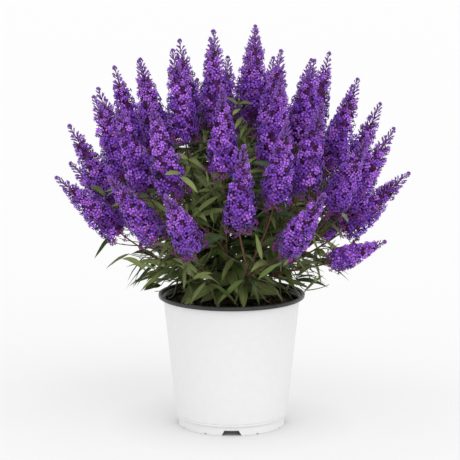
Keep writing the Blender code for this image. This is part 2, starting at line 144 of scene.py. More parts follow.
# Shoots and leaves
SHOOT_FOOT_RADIUS = 0.0019
SHOOT_TIP_RADIUS = 0.0011
LEAF_TRIES = ((1.0, 62.0), (0.9, 45.0), (0.75, 60.0), (0.8, 30.0), (0.6, 50.0))
LEAF_ROWS = 7
LONGEST_LEAF = 0.070
HEAD_CLEARANCE = 0.0015
POT_MARGIN = 0.0025
HANG = 0.004
FRONT_LIFT = 0.026
TWIG_LEAN = 42.0
TWIG_DROP = -0.30
THIN_FROM = 0.046
THIN_TO = 0.096
THINNEST = 0.05
SKIRT_FULLER = 0.45

# Buds at a head's tip
WHORLS = 9
WHORL_SPRAYS = 5
WHORL_TURN = 13.0

# Dense middle of a head, a dark core of painted shade: half width against the blossom's, highest share of the length
HEART_WIDTH = 0.47
HEART_TOP = 0.72

# Blossom: outline of a head, half width against its widest at shares of its length
BLOOM_STATIONS = (0.0, 0.04, 0.12, 0.25, 0.50, 0.75, 0.90, 1.0)
BLOOM_WIDTHS = (0.80, 1.00, 1.08, 1.03, 0.76, 0.50, 0.31, 0.15)

# Floor: its own light at distances from the pot's middle, painted light that fills in the plant's shadows, lowered
# near the pot as a painted contact shadow and dim under the pot
FLOOR_GLOW_AND_CONTACT_SHADOW = ((0.081, 0.01), (0.088, 0.38), (0.097, 0.435), (0.118, 0.485), (0.150, 0.525), (0.210, 0.580),
              (0.500, 0.592), (0.900, 0.582))

FAN_POINT = np.array((0.0, 0.0, SOIL_LEVEL + GAP))
UP = np.array((0.0, 0.0, 1.0))


# Vectors

def unit(vectors):
    """Each vector divided by its length."""
    return vectors / np.linalg.norm(vectors, axis=-1, keepdims=True)


def dot(first, second):
    """Dot product along the last axis, kept as an axis."""
    return np.sum(first * second, axis=-1, keepdims=True)


def direction(lean, turn):
    """Unit vectors leaning from upright by lean, towards turn from the front, in degrees."""
    lean, turn = np.broadcast_arrays(np.radians(lean), np.radians(turn))
    return np.stack((np.sin(lean) * np.sin(turn), -np.sin(lean) * np.cos(turn), np.cos(lean)), axis=-1)


def across(ways):
    """Two unit vectors across each way: its cross product with a fixed slant, and with that."""
    steep = np.abs(ways[..., 2:]) >= 0.9
    side = unit(np.cross(ways, np.where(steep, (0.93, 0.31, 0.17), (0.31, 0.17, 0.93))))
    return side, np.cross(ways, side)


def waves(points, pitch, seed, count=20):
    """Sum of plane waves in seeded ways, their lengths near pitch, scaled to lie about -1 to 1."""
    random = np.random.default_rng(seed)
    ways = unit(random.normal(size=(count, 3))) * random.uniform(0.6, 1.8, (count, 1)) * 2 * pi / pitch
    phases = random.uniform(0, 2 * pi, count)
    return np.sin(points @ ways.T + phases).sum(axis=-1) / sqrt(count)


# Meshes: a bundle is points, blocks of equal polygons, UV pairs and a tone for each point

def joined(bundles):
    """Bundles put one after another, their polygons counted on."""
    points, blocks, pairs, tones = [], [], [], []
    start = 0
    for part_points, part_blocks, part_pairs, part_tones in bundles:
        points.append(part_points)
        blocks.extend(block + start for block in part_blocks)
        pairs.append(part_pairs)
        tones.append(part_tones)
        start += len(part_points)
    return np.concatenate(points), blocks, np.concatenate(pairs), np.concatenate(tones)


def add_piece(name, bundle, material, nodes=(), smooth=True):
    """Mesh object from a bundle, that rides on the one body and stands for the named nodes."""
    points, blocks, pairs, tones = bundle
    blocks = [block for block in blocks if len(block)]
    mesh = bpy.data.meshes.new(name)
    sizes = np.concatenate([np.full(len(block), block.shape[1]) for block in blocks])
    corners = np.concatenate([block.ravel() for block in blocks]).astype(np.int32)
    mesh.vertices.add(len(points))
    mesh.vertices.foreach_set("co", points.astype(np.float32).ravel())
    mesh.loops.add(len(corners))
    mesh.loops.foreach_set("vertex_index", corners)
    mesh.polygons.add(len(sizes))
    mesh.polygons.foreach_set("loop_start", (np.cumsum(sizes) - sizes).astype(np.int32))
    mesh.polygons.foreach_set("use_smooth", np.full(len(sizes), smooth))
    mesh.update(calc_edges=True)
    mesh.uv_layers.new(name="UVMap").data.foreach_set("uv", pairs[corners].astype(np.float32).ravel())
    mesh.attributes.new("tone", "FLOAT", "POINT").data.foreach_set("value", tones.astype(np.float32))
    if mesh.validate():
        raise RuntimeError(name + " has a broken mesh")
    mesh.materials.append(material)
    piece = bpy.data.objects.new(name, mesh)
    bpy.context.scene.collection.objects.link(piece)
    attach(piece, "root")
    if nodes:
        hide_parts(*nodes)
    return piece


def ring_quads(rings, sides, closed=False):
    """Quads between neighbouring rings of a grid of rings by sides, the sides closed round."""
    low = np.arange(rings - (0 if closed else 1))[:, None] * sides
    high = (low + sides) % (rings * sides)
    here = np.arange(sides)
    after = (here + 1) % sides
    return np.stack((low + here, low + after, high + after, high + here), axis=-1).reshape(-1, 4)


def turned(profile, sides, closed=False):
    """Radius and height pairs turned round Z; an open profile starts and ends in a pole on Z."""
    profile = np.array(profile, dtype=float)
    angle = 2 * pi * np.arange(sides) / sides
    around = np.stack((np.cos(angle), np.sin(angle), np.zeros(sides)), axis=-1)
    grid = profile[:, None, :1] * around + profile[:, None, 1:] * UP
    quads = ring_quads(len(profile), sides, closed)
    travelled = np.cumsum(np.linalg.norm(np.diff(profile, axis=0, prepend=profile[:1]), axis=1))
    pairs = np.stack(np.broadcast_arrays(angle * RIM_DIAMETER / 2, travelled[:, None]), axis=-1)
    points = grid.reshape(-1, 3)
    pairs = pairs.reshape(-1, 2)
    blocks = [quads]
    if not closed:
        poles = np.array(((0, 0, profile[0, 1]), (0, 0, profile[-1, 1])))
        here = np.arange(sides)
        after = (here + 1) % sides
        last = (len(profile) - 1) * sides
        count = len(points)
        blocks.append(np.stack((np.full(sides, count), after, here), axis=-1))
        blocks.append(np.stack((last + here, last + after, np.full(sides, count + 1)), axis=-1))
        points = np.concatenate((points, poles))
        pairs = np.concatenate((pairs, np.zeros((2, 2))))
    return points, blocks, pairs, np.zeros(len(points))


def tubes(paths, ways, radii, sides, tones):
    """Round limbs: each path point plus radius times the circle across its way, with ends closed by fans to the first
    and last path points.
    """
    count, steps = paths.shape[:2]
    start_side, _ = across(unit(paths[:, -1] - paths[:, 0]))
    side = unit(start_side[:, None] - dot(start_side[:, None], ways) * ways)
    over = np.cross(ways, side)
    angle = (2 * pi * np.arange(sides) / sides)[:, None]
    circle = np.cos(angle) * side[:, :, None] + np.sin(angle) * over[:, :, None]
    rings = paths[:, :, None] + radii[..., None] * circle
    travelled = np.linalg.norm(np.diff(paths, axis=1, prepend=paths[:, :1]), axis=2).cumsum(axis=1)
    pairs = np.stack(np.broadcast_arrays(angle[:, 0] / (2 * pi), travelled[:, :, None]), axis=-1)
    grid = steps * sides
    starts = np.arange(count)[:, None, None] * grid
    quads = (starts + ring_quads(steps, sides)).reshape(-1, 4)
    here = np.arange(sides)
    after = (here + 1) % sides
    owner = np.repeat(np.arange(count), sides)
    foot = np.stack((count * grid + owner, owner * grid + np.tile(after, count),
                     owner * grid + np.tile(here, count)), axis=-1)
    last = owner * grid + grid - sides
    tip = np.stack((last + np.tile(here, count), last + np.tile(after, count),
                    count * (grid + 1) + owner), axis=-1)
    points = np.concatenate((rings.reshape(-1, 3), paths[:, 0], paths[:, -1]))
    pairs = np.concatenate((pairs.reshape(-1, 2), np.zeros((2 * count, 2))))
    tones = np.concatenate((np.repeat(tones, grid), tones, tones))
    return points, [quads, foot, tip], pairs, tones


def placed(shape, blocks, pairs, centres, facing, spin, sizes, tones):
    """Copies of a small shape: centre + size * (x * side + y * over + z * facing), spun about facing."""
    side, over = across(facing)
    turn = spin[:, None]
    first = np.cos(turn) * side + np.sin(turn) * over
    second = np.cross(facing, first)
    axes = np.stack((first, second, facing), axis=1)
    points = centres[:, None] + sizes[:, None, None] * np.einsum("vk,nkc->nvc", shape, axes)
    starts = (np.arange(len(centres)) * len(shape))[:, None, None]
    moved = [(starts + block).reshape(-1, block.shape[1]) for block in blocks]
    return points.reshape(-1, 3), moved, np.tile(pairs, (len(centres), 1)), np.repeat(tones, len(shape))


# The plant's rule

def bough_plan():
    """Name, lean and turn of every bough, ring by ring."""
    return [(name, lean, first + 360 * index / count)
            for name, lean, count, first in BOUGH_RINGS for index in range(count)]


def dome_reach(lean):
    """Distance from the fan point to the dome along a ray: the root of a circle's equation."""
    rise = DOME_RISE * np.cos(np.radians(lean))
    sideways = DOME_RISE * np.sin(np.radians(lean))
    return rise + np.sqrt(DOME_RADIUS ** 2 - sideways ** 2)


def head_plan():
    """Foot, axis, length and radius of every flower head, as arrays."""
    rays = [(lean, size, turn) for lean, size, turns in HEAD_TIERS for turn in turns]
    lean, size, turn = np.array(rays, dtype=float).T
    jitter = np.random.default_rng(SEED).uniform(-1, 1, (len(rays), 3))
    share = np.clip((lean - SPREAD_START) / (SPREAD_END - SPREAD_START), 0, 1)
    share = share * share * (3 - 2 * share)
    own_lean = lean * (UPRIGHT_SHARE + (1 - UPRIGHT_SHARE) * share)
    axis = direction(own_lean, turn + HEAD_TWIST * jitter[:, 0])
    length = size * HEAD_LENGTH * (1 + HEAD_SPREAD * jitter[:, 1])
    radius = size * HEAD_RADIUS * (1 + HEAD_SPREAD * jitter[:, 2])
    tip = FAN_POINT + dome_reach(lean)[:, None] * direction(lean, turn)
    return tip - length[:, None] * axis, axis, length, radius


def curves(ends, share):
    """Points and ways of cubic curves that leave along a heading and arrive along an axis."""
    start, heading, end, axis = (part[:, None] for part in ends)
    reach = np.linalg.norm(end - start, axis=-1, keepdims=True)
    first = start + LEAVE_SHARE * reach * heading
    second = end - ARRIVE_SHARE * reach * axis
    share = np.asarray(share)[..., None]
    rest = 1 - share
    points = rest ** 3 * start + 3 * rest ** 2 * share * first
    points = points + 3 * rest * share ** 2 * second + share ** 3 * end
    ways = rest ** 2 * (first - start) + 2 * rest * share * (second - first) + share ** 2 * (end - second)
    return points, unit(ways)


def shoot_plan():
    """Start, heading, end and arriving axis of every shoot, and the head that it carries, or -1."""
    foot, axis, length, radius = head_plan()
    boughs = bough_plan()
    headings = direction([lean for _, lean, _ in boughs], [turn for _, _, turn in boughs])
    nearest = np.argmax(unit(foot - FAN_POINT) @ headings.T, axis=1)
    rows = []
    for owner, (name, lean, turn) in enumerate(boughs):
        heading = headings[owner]
        stem = FAN_POINT + (BOUGH_REACH + GAP) * heading
        ends = [(foot[head] + HEAD_HOLD * length[head] * axis[head], axis[head], head)
                for head in np.flatnonzero(nearest == owner)]
        ends.sort(key=lambda goal: -float(unit(goal[0] - stem) @ heading))
        if name == "outer":
            for low_lean, reach, off in SKIRT_SHOOTS:
                low = direction(low_lean, turn + off)
                ends.append((FAN_POINT + reach * low, low, -1))
        leader = (stem[None], heading[None], ends[0][0][None], ends[0][1][None])
        rows.append((stem, heading, *ends[0]))
        for index, (goal, way, head) in enumerate(ends[1:]):
            along = FORK_SHARE * (index + 1) / len(ends) / SHOOT_STEPS
            leave = curves(leader, [along])[0][0, 0]
            rows.append((leave, unit(heading + FORK_PULL * unit(goal - leave)), goal, way, head))
    starts, leaving, goals, arriving, heads = zip(*rows)
    return tuple(np.array(part) for part in (starts, leaving, goals, arriving)), np.array(heads)


# Room for leaves and twigs

def head_lines():
    """Start, end and two radii of the stretches of every flower head's cone."""
    foot, axis, length, radius = head_plan()
    shares = np.array(HEAD_STATIONS[1:-1])
    widths = np.array(HEAD_WIDTHS[1:-1]) * radius[:, None]
    places = foot[:, None] + (shares * length[:, None])[..., None] * axis[:, None]
    return (places[:, :-1].reshape(-1, 3), places[:, 1:].reshape(-1, 3),
            widths[:, :-1].ravel(), widths[:, 1:].ravel())


def line_gaps(points, lines):
    """Distance from each point to the nearest line's surface."""
    starts, ends, first, second = lines
    along = ends - starts
    share = np.einsum("pli,li->pl", points[:, None, :] - starts, along)
    share = np.clip(share / np.sum(along ** 2, axis=1), 0, 1)
    near = starts + share[:, :, None] * along
    gaps = np.linalg.norm(points[:, None, :] - near, axis=2) - (first + share * (second - first))
    return gaps.min(axis=1)


def has_room(samples, lines):
    """True for each row of points that stands off the heads, the pot and the outside of the crown."""
    rows, count = samples.shape[:2]
    points = samples.reshape(-1, 3)
    gaps = np.concatenate([line_gaps(part, lines) for part in np.array_split(points, 1 + len(points) // 2000)])
    radius = np.linalg.norm(points[:, :2], axis=1) + 1e-9
    height = points[:, 2]
    lift = FRONT_LIFT * (0.25 - points[:, 1] / radius)
    over = height > POT_HEIGHT + POT_MARGIN + np.maximum(lift, 0)
    outside = (radius > RIM_DIAMETER / 2 + POT_MARGIN) & (height > POT_HEIGHT - HANG + lift)
    inside = (radius < RIM_DIAMETER / 2 - 3 * RIM_WIDTH) & (height > SOIL_LEVEL + POT_MARGIN)
    ray = points - FAN_POINT
    reach = np.linalg.norm(ray, axis=1)
    lean = np.degrees(np.arccos(np.clip(ray[:, 2] / reach, -1, 1)))
    within = reach < dome_reach(np.minimum(lean, 90))
    good = (gaps > HEAD_CLEARANCE) & (over | outside | inside) & within
    return good.reshape(rows, count).all(axis=1)


# Leaves

def leaf_centre(node, along, length, droop, share):
    """Centre line of a leaf: node + length * (share * along - droop * share squared * up)."""
    share = np.asarray(share)[:, None]
    line = share * along[:, None] - droop[:, None, None] * share ** 2 * UP
    return node[:, None] + length[:, None, None] * line


def leaf_rule(nodes, headings, levels, lengths, droops, lines):
    """Ways and lengths of the leaves that find room, each tried a few times shorter or steeper."""
    alongs = np.zeros_like(nodes)
    sizes = np.zeros(len(nodes))
    open_rows = np.arange(len(nodes))
    for share, angle in LEAF_TRIES:
        angle = radians(angle)
        along = unit(cos(angle) * headings[open_rows] + sin(angle) * levels[open_rows])
        size = share * lengths[open_rows]
        samples = leaf_centre(nodes[open_rows], along, size, droops[open_rows], (0.3, 0.5, 0.7, 0.85, 1.0))
        good = has_room(samples, lines)
        alongs[open_rows[good]] = along[good]
        sizes[open_rows[good]] = size[good]
        open_rows = open_rows[~good]
    return alongs, sizes


def leaf_blades(node, along, level, length, width, droop, twist, tone):
    """Lance-shaped folded sheets: the centre line plus across * half width * v, edges raised by a fold.

    Half width is width / 2 * sin(pi * share ^ 0.78) ^ 0.80, and across turns by twist along the leaf.
    """
    share = np.linspace(0, 1, LEAF_ROWS + 1)
    centre = leaf_centre(node, along, length, droop, share)
    way = unit(along[:, None] - 2 * droop[:, None, None] * share[:, None] * UP)
    flat = unit(np.cross(along, level))[:, None] + np.zeros_like(way)
    over = np.cross(flat, way)
    over = over * np.where(over[..., 2:] < 0, -1, 1)
    turn = (twist[:, None] * share)[..., None]
    side = np.cos(turn) * flat + np.sin(turn) * over
    lift = np.cross(side, way)
    lift = lift * np.where(dot(lift, over) < 0, -1, 1)
    outline = np.sin(pi * share ** 0.78) ** 0.80
    outline[0] = 0.12
    half = (width[:, None] / 2 * outline)[..., None]
    ripple = 0.25 + 0.10 * np.sin(2 * pi * (2.5 * share + tone[:, None] * 7))[..., None]
    left = centre + half * (side + ripple * lift)
    right = centre + half * (-side + ripple * lift)
    grid = np.stack((left, centre, right), axis=2)[:, :-1]
    count = len(node)
    corner = np.arange(LEAF_ROWS - 1)[:, None] * 3 + np.arange(2)
    quad = np.stack((corner, corner + 1, corner + 4, corner + 3), axis=-1).reshape(-1, 4)
    last = (LEAF_ROWS - 1) * 3
    size = 3 * LEAF_ROWS
    starts = (np.arange(count) * (size + 1))[:, None, None]
    tips = np.array(((last, last + 1, size), (last + 1, last + 2, size)))
    points = np.concatenate((grid.reshape(count, size, 3), centre[:, -1:]), axis=1)
    uv = np.stack(np.broadcast_arrays(np.array((0.0, 0.5, 1.0)), share[:-1, None]), axis=-1).reshape(-1, 2)
    uv = np.concatenate((uv, ((0.5, 1.0),)))
    return (points.reshape(-1, 3), [(starts + quad).reshape(-1, 4), (starts + tips).reshape(-1, 3)],
            np.tile(uv, (count, 1)), np.repeat(tone, size + 1))


def stations(ends, reach_share, pitch):
    """Places, ways and shares of leaf nodes, a pitch apart along each curve up to a share of it."""
    fine = np.linspace(0, 1, 25)
    points, ways = curves(ends, fine)
    travelled = np.linalg.norm(np.diff(points, axis=1, prepend=points[:, :1]), axis=2).cumsum(axis=1)
    rows = []
    for owner in range(len(points)):
        length = travelled[owner, -1] * reach_share[owner]
        count = max(int(length / pitch[owner]), 1)
        for index in range(count):
            rows.append((owner, index, np.interp(length * (index + 0.7) / count, travelled[owner], fine)))
    owner, index, share = np.array(rows).T
    owner = owner.astype(int)
    picked = tuple(part[owner] for part in ends)
    place, way = curves(picked, share[:, None])
    return owner, index, share, place[:, 0], way[:, 0]


def leaf_pairs(owner, index, way, chord, seed):
    """Opposite sides of each node, a quarter turn on from node to node."""
    first = np.random.default_rng(seed).uniform(0, pi, owner.max() + 1)
    side, over = across(chord)
    levels = []
    for half_turn in (0, pi):
        angle = (first[owner] + index * pi / 2 + half_turn)[:, None]
        level = np.cos(angle) * side[owner] + np.sin(angle) * over[owner]
        levels.append(unit(level - dot(level, way) * way))
    return levels


# Flower heads

def cone_width(share):
    """Half width of a flower head against its widest, at a share of its length."""
    return np.interp(share, BLOOM_STATIONS, BLOOM_WIDTHS)


def spread_shares(low, high, count):
    """Shares from low to high, packed in proportion to the cone's width."""
    fine = np.linspace(low, high, 60)
    packed = np.cumsum(cone_width(fine) + 0.12)
    packed = (packed - packed[0]) / (packed[-1] - packed[0])
    return np.interp((np.arange(count) + 0.5) / count, packed, fine)


def floret_shape():
    """Four round lobes round a narrow tube, facing +Z, one unit from middle to lobe tip."""
    lobe = np.array(((0.20, -0.13, 0.0), (0.58, -0.34, 0.06), (0.88, -0.25, -0.04),
                     (1.0, 0.0, -0.12), (0.88, 0.25, -0.04), (0.58, 0.34, 0.06), (0.20, 0.13, 0.0)))
    points = []
    for quarter in range(4):
        angle = quarter * pi / 2
        turn = np.array(((cos(angle), sin(angle), 0), (-sin(angle), cos(angle), 0), (0, 0, 1)))
        points.append(lobe @ turn)
    throat = [(0.20 * cos(pi / 4 + k * pi / 2), 0.20 * sin(pi / 4 + k * pi / 2), 0.02) for k in range(4)]
    root = [(0.11 * cos(pi / 4 + k * pi / 2), 0.11 * sin(pi / 4 + k * pi / 2), -1.5) for k in range(4)]
    shape = np.concatenate(points + [np.array(throat), np.array(root)])
    petals = np.arange(28).reshape(4, 7)
    here = np.arange(4)
    after = (here + 1) % 4
    tube = np.stack((32 + here, 32 + after, 28 + after, 28 + here), axis=-1)
    far = np.linalg.norm(shape[:, :2], axis=1)
    pairs = np.stack((far, np.where(shape[:, 2] < -1, 1.0, 0.0)), axis=-1)
    return shape, [petals, tube], pairs


def eye_shape():
    """Dark six-sided ring round the eye, facing +Z, in the floret's own unit."""
    ring = [(0.38 * cos(k * pi / 3), 0.38 * sin(k * pi / 3), 0.06) for k in range(6)]
    return np.array(ring), [np.arange(6)[None]], np.zeros((6, 2))


def pupil_shape():
    """Raised point in the middle of the eye."""
    ring = [(0.21 * cos(k * pi / 2), 0.21 * sin(k * pi / 2), 0.09) for k in range(4)]
    here = np.arange(4)
    return (np.array(ring + [(0, 0, 0.17)]),
            [np.stack((here, (here + 1) % 4, np.full(4, 4)), axis=-1)], np.zeros((5, 2)))


def bud_shape(thick):
    """Three-sided spindle from a narrow foot to a blunt end, along +Z, one unit long."""
    rings = ((0.55 * thick, 0.25), (thick, 0.78))
    angle = 2 * pi * np.arange(3) / 3
    points = [(radius * cos(turn), radius * sin(turn), z) for radius, z in rings for turn in angle]
    shape = np.array(points + [(0, 0, 0), (0, 0, 1.0)])
    here = np.arange(3)
    after = (here + 1) % 3
    foot = np.stack((np.full(3, 6), after, here), axis=-1)
    cap = np.stack((3 + here, 3 + after, np.full(3, 7)), axis=-1)
    tone = np.stack((0.45 + 0.55 * shape[:, 2], np.zeros(8)), axis=-1)
    return shape, [ring_quads(2, 3), foot, cap], tone


def cap_ways(axis, count, half_angle, random):
    """Ways spread over a cap round each axis: equal steps of height, a golden angle apart."""
    side, over = across(axis)
    step = (np.arange(count) + 0.5) / count
    height = 1 - step * (1 - cos(radians(half_angle)))
    width = np.sqrt(1 - height ** 2)
    first = random.uniform(0, 2 * pi, axis.shape[:-1])[..., None]
    angle = first + np.arange(count) * pi * (3 - sqrt(5))
    return (height[:, None] * axis[..., None, :]
            + (width * np.cos(angle))[..., None] * side[..., None, :]
            + (width * np.sin(angle))[..., None] * over[..., None, :])


def spiral(count):
    """Turns a golden angle apart."""
    return np.arange(count) * pi * (3 - sqrt(5))


def cyme_plan(random, shares, turns, inset, rise):
    """Middle, way and radial of the clusters of every head, each at its turn round the cone."""
    foot, axis, length, radius = head_plan()
    side, over = across(axis)
    count = len(shares)
    share = shares + random.uniform(-0.012, 0.012, (len(foot), count))
    angle = random.uniform(0, 2 * pi, (len(foot), 1)) + turns
    angle = angle + random.uniform(-0.25, 0.25, angle.shape)
    radial = np.cos(angle)[..., None] * side[:, None] + np.sin(angle)[..., None] * over[:, None]
    width = cone_width(share) * radius[:, None]
    middle = foot[:, None] + (share * length[:, None])[..., None] * axis[:, None]
    middle = middle + (inset * width)[..., None] * radial
    return middle, unit(radial + rise * axis[:, None]), radial, width, share


# Materials

def new_material(name, color, roughness):
    """Material with its colour, roughness and the tree that the pattern goes into."""
    material = bpy.data.materials.new(name)
    material.use_nodes = True
    material.diffuse_color = (*color, 1.0)
    shader = material.node_tree.nodes["Principled BSDF"]
    shader.inputs["Base Color"].default_value = (*color, 1.0)
    shader.inputs["Roughness"].default_value = roughness
    return material, material.node_tree, shader


def add_node(tree, kind, **values):
    """Node of a kind, with its sockets set by name."""
    node = tree.nodes.new(kind)
    for name, value in values.items():
        node.inputs[name.replace("_", " ")].default_value = value
    return node


def add_ramp(tree, source, stops):
    """Colour ramp over a source value."""
    ramp = tree.nodes.new("ShaderNodeValToRGB")
    elements = ramp.color_ramp.elements
    while len(elements) < len(stops):
        elements.new(0.5)
    for element, (place, color) in zip(elements, stops):
        element.position = place
        element.color = (*color, 1.0)
    tree.links.new(source, ramp.inputs["Fac"])
    return ramp.outputs["Color"]


def add_math(tree, operation, first, second):
    """Arithmetic on sockets or plain numbers."""
    node = tree.nodes.new("ShaderNodeMath")
    node.operation = operation
    for socket, value in zip(node.inputs, (first, second)):
        if isinstance(value, (int, float)):
            socket.default_value = value
        else:
            tree.links.new(value, socket)
    return node.outputs["Value"]


def add_noise(tree, scale, detail, coordinate="Object"):
    """Noise over object or UV coordinates."""
    place = tree.nodes.new("ShaderNodeTexCoord")
    noise = add_node(tree, "ShaderNodeTexNoise", Scale=scale, Detail=detail)
    tree.links.new(place.outputs[coordinate], noise.inputs["Vector"])
    return noise.outputs["Fac"]


def add_bump(tree, shader, height, strength, distance):
    """Bump from a height value into the shader's normal."""
    bump = add_node(tree, "ShaderNodeBump", Strength=strength, Distance=distance)
    tree.links.new(height, bump.inputs["Height"])
    tree.links.new(bump.outputs["Normal"], shader.inputs["Normal"])


def scaled(color, factor):
    """Colour made brighter or darker."""
    return tuple(min(part * factor, 1.0) for part in color)


def mottled(name, color, roughness, scale, low, high, bump=0.0, distance=0.001):
    """Plain colour that wanders between two strengths with fine noise, and a slight relief."""
    material, tree, shader = new_material(name, color, roughness)
    noise = add_noise(tree, scale, 4.0)
    tree.links.new(add_ramp(tree, noise, ((0.3, scaled(color, low)), (0.7, scaled(color, high)))),
                   shader.inputs["Base Color"])
    if bump:
        add_bump(tree, shader, noise, bump, distance)
    return material


def leaf_material(name, color):
    """Leaf: paler rib down the middle, slanting side veins, tone from leaf to leaf."""
    material, tree, shader = new_material(name, color, 0.58)
    shader.inputs["Specular IOR Level"].default_value = 0.25
    uv = tree.nodes.new("ShaderNodeUVMap")
    uv.uv_map = "UVMap"
    parts = tree.nodes.new("ShaderNodeSeparateXYZ")
    tree.links.new(uv.outputs["UV"], parts.inputs["Vector"])
    off = add_math(tree, "ABSOLUTE", add_math(tree, "SUBTRACT", parts.outputs["X"], 0.5), 0.0)
    rib = add_math(tree, "LESS_THAN", off, 0.07)
    slant = add_math(tree, "SUBTRACT", add_math(tree, "MULTIPLY", parts.outputs["Y"], 60.0),
                     add_math(tree, "MULTIPLY", off, 22.0))
    veins = add_math(tree, "POWER", add_math(tree, "ABSOLUTE", add_math(tree, "SINE", slant, 0.0), 0.0), 6.0)
    tone = tree.nodes.new("ShaderNodeAttribute")
    tone.attribute_name = "tone"
    level = add_math(tree, "MULTIPLY", tone.outputs["Fac"], 0.55)
    level = add_math(tree, "ADD", level, add_math(tree, "MULTIPLY", add_noise(tree, 55.0, 3.0), 0.35))
    level = add_math(tree, "ADD", level, add_math(tree, "MULTIPLY", rib, 0.20))
    level = add_math(tree, "SUBTRACT", level, add_math(tree, "MULTIPLY", veins, 0.12))
    ramp = add_ramp(tree, level, ((0.08, scaled(color, 0.45)), (0.45, color), (0.95, scaled(color, 1.75))))
    tree.links.new(ramp, shader.inputs["Base Color"])
    add_bump(tree, shader, add_math(tree, "SUBTRACT", add_math(tree, "MULTIPLY", rib, 0.8), veins), 0.35, 0.0004)
    return material


def petal_material(name, color):
    """Petals: darker at the throat and tube, paler at the lobes' ends, toned floret by floret."""
    material, tree, shader = new_material(name, color, 0.62)
    shader.inputs["Specular IOR Level"].default_value = 0.25
    shader.inputs["Sheen Weight"].default_value = 0.15
    uv = tree.nodes.new("ShaderNodeUVMap")
    uv.uv_map = "UVMap"
    parts = tree.nodes.new("ShaderNodeSeparateXYZ")
    tree.links.new(uv.outputs["UV"], parts.inputs["Vector"])
    tone = tree.nodes.new("ShaderNodeAttribute")
    tone.attribute_name = "tone"
    level = add_math(tree, "MULTIPLY", parts.outputs["X"], 0.70)
    level = add_math(tree, "ADD", level, add_math(tree, "MULTIPLY", tone.outputs["Fac"], 0.30))
    level = add_math(tree, "SUBTRACT", level, add_math(tree, "MULTIPLY", parts.outputs["Y"], 0.5))
    level = add_math(tree, "ADD", level, add_math(tree, "MULTIPLY", add_noise(tree, 420.0, 2.0), 0.15))
    ramp = add_ramp(tree, level, ((0.15, scaled(color, 0.32)), (0.55, scaled(color, 0.93)), (1.0, scaled(color, 1.4))))
    tree.links.new(ramp, shader.inputs["Base Color"])
    return material


def bark_material(name, color, scale):
    """Bark: noise drawn out along the stem, in tone and in relief."""
    material, tree, shader = new_material(name, color, 0.8)
    place = tree.nodes.new("ShaderNodeTexCoord")
    stretch = tree.nodes.new("ShaderNodeMapping")
    stretch.inputs["Scale"].default_value = (6.0, scale, 1.0)
    tree.links.new(place.outputs["UV"], stretch.inputs["Vector"])
    noise = add_node(tree, "ShaderNodeTexNoise", Scale=1.0, Detail=5.0)
    tree.links.new(stretch.outputs["Vector"], noise.inputs["Vector"])
    ramp = add_ramp(tree, noise.outputs["Fac"],
                    ((0.3, scaled(color, 0.5)), (0.5, color), (0.72, scaled(color, 1.6))))
    tree.links.new(ramp, shader.inputs["Base Color"])
    add_bump(tree, shader, noise.outputs["Fac"], 0.5, 0.0006)
    return material


# Settings

def length_setting(name, description, default):
    return bpy.props.FloatProperty(name=name, description=description, default=default, unit="LENGTH",
                                   precision=4)


def color_setting(name, description, default):
    return bpy.props.FloatVectorProperty(name=name, description=description, default=default,
                                         subtype="COLOR", min=0.0, max=1.0)


def count_setting(name, description, default):
    return bpy.props.IntProperty(name=name, description=description, default=default, min=1)


class BUSH_PotSettings(bpy.types.PropertyGroup):
    rim_diameter: length_setting("Lip diameter", "Outside diameter of the rolled lip", RIM_DIAMETER)
    wall_color: color_setting("Pot colour", "White moulded plastic", (0.80, 0.80, 0.80))
    lip_color: color_setting("Lip colour", "Dark plastic of the lip and inside", (0.022, 0.022, 0.021))
    soil_color: color_setting("Soil colour", "Moist potting mix", (0.017, 0.012, 0.008))
    fleck_color: color_setting("Fleck colour", "Bark flecks in the mix", (0.16, 0.070, 0.026))


class BUSH_StemSettings(bpy.types.PropertyGroup):
    wood_color: color_setting("Wood colour", "Old bark at the foot", (0.050, 0.030, 0.017))
    shoot_color: color_setting("Shoot colour", "Reddish bark of this year's shoots", (0.125, 0.058, 0.030))
    twig_color: color_setting("Twig colour", "Green bark of the side twigs", (0.085, 0.085, 0.032))


class BUSH_LeafSettings(bpy.types.PropertyGroup):
    length: length_setting("Leaf length", "Usual length of a leaf", 0.050)
    width: length_setting("Leaf width", "Usual width of a leaf", 0.0098)
    pitch: length_setting("Node pitch", "Way between leaf pairs on a shoot", 0.0090)
    # Shade and pale are painted shade and painted light, dealt by place in the bush; olive is the usual leaf colour
    # between them and sage the young leaves' own tone
    shade_color: color_setting("Shade colour", "Leaves deep in the bush", (0.044, 0.063, 0.018))
    olive_color: color_setting("Olive colour", "Most leaves", (0.092, 0.130, 0.032))
    pale_color: color_setting("Pale colour", "Leaves that catch the light", (0.150, 0.184, 0.060))
    sage_color: color_setting("Sage colour", "Young grey-green leaves", (0.074, 0.118, 0.060))


class BUSH_BlossomSettings(bpy.types.PropertyGroup):
    floret: length_setting("Floret size", "From a floret's middle to the end of a lobe", 0.0055)
    cymes: count_setting("Clusters", "Clusters of florets in a flower head", 46)
    florets: count_setting("Florets", "Florets in a cluster", 5)
    # Lavender and deep violet are partly painted light and painted shade: the paler florets sit high on a head and the
    # deep ones low
    lavender_color: color_setting("Lavender", "Palest florets", (0.390, 0.125, 0.700))
    violet_color: color_setting("Violet", "Most florets", (0.195, 0.048, 0.480))
    deep_color: color_setting("Deep violet", "Florets in the shade", (0.120, 0.022, 0.290))
    # Plum is painted shade for the florets deep in a head, and also the colour of the eye rings
    plum_color: color_setting("Plum", "Florets deep in a head", (0.095, 0.008, 0.070))
    magenta_color: color_setting("Magenta", "Loose florets at a head's foot", (0.170, 0.020, 0.170))
    bud_color: color_setting("Bud colour", "Closed buds at a head's tip", (0.215, 0.075, 0.380))
    stalk_color: color_setting("Stalk colour", "Stalks inside a head", (0.085, 0.036, 0.105))
    # Heart: painted shade for the dense middle of a head
    heart_color: color_setting("Heart colour", "Dense middle of a head", (0.125, 0.026, 0.190))
    eye_color: color_setting("Eye colour", "Orange eye of a floret", (0.520, 0.150, 0.018))


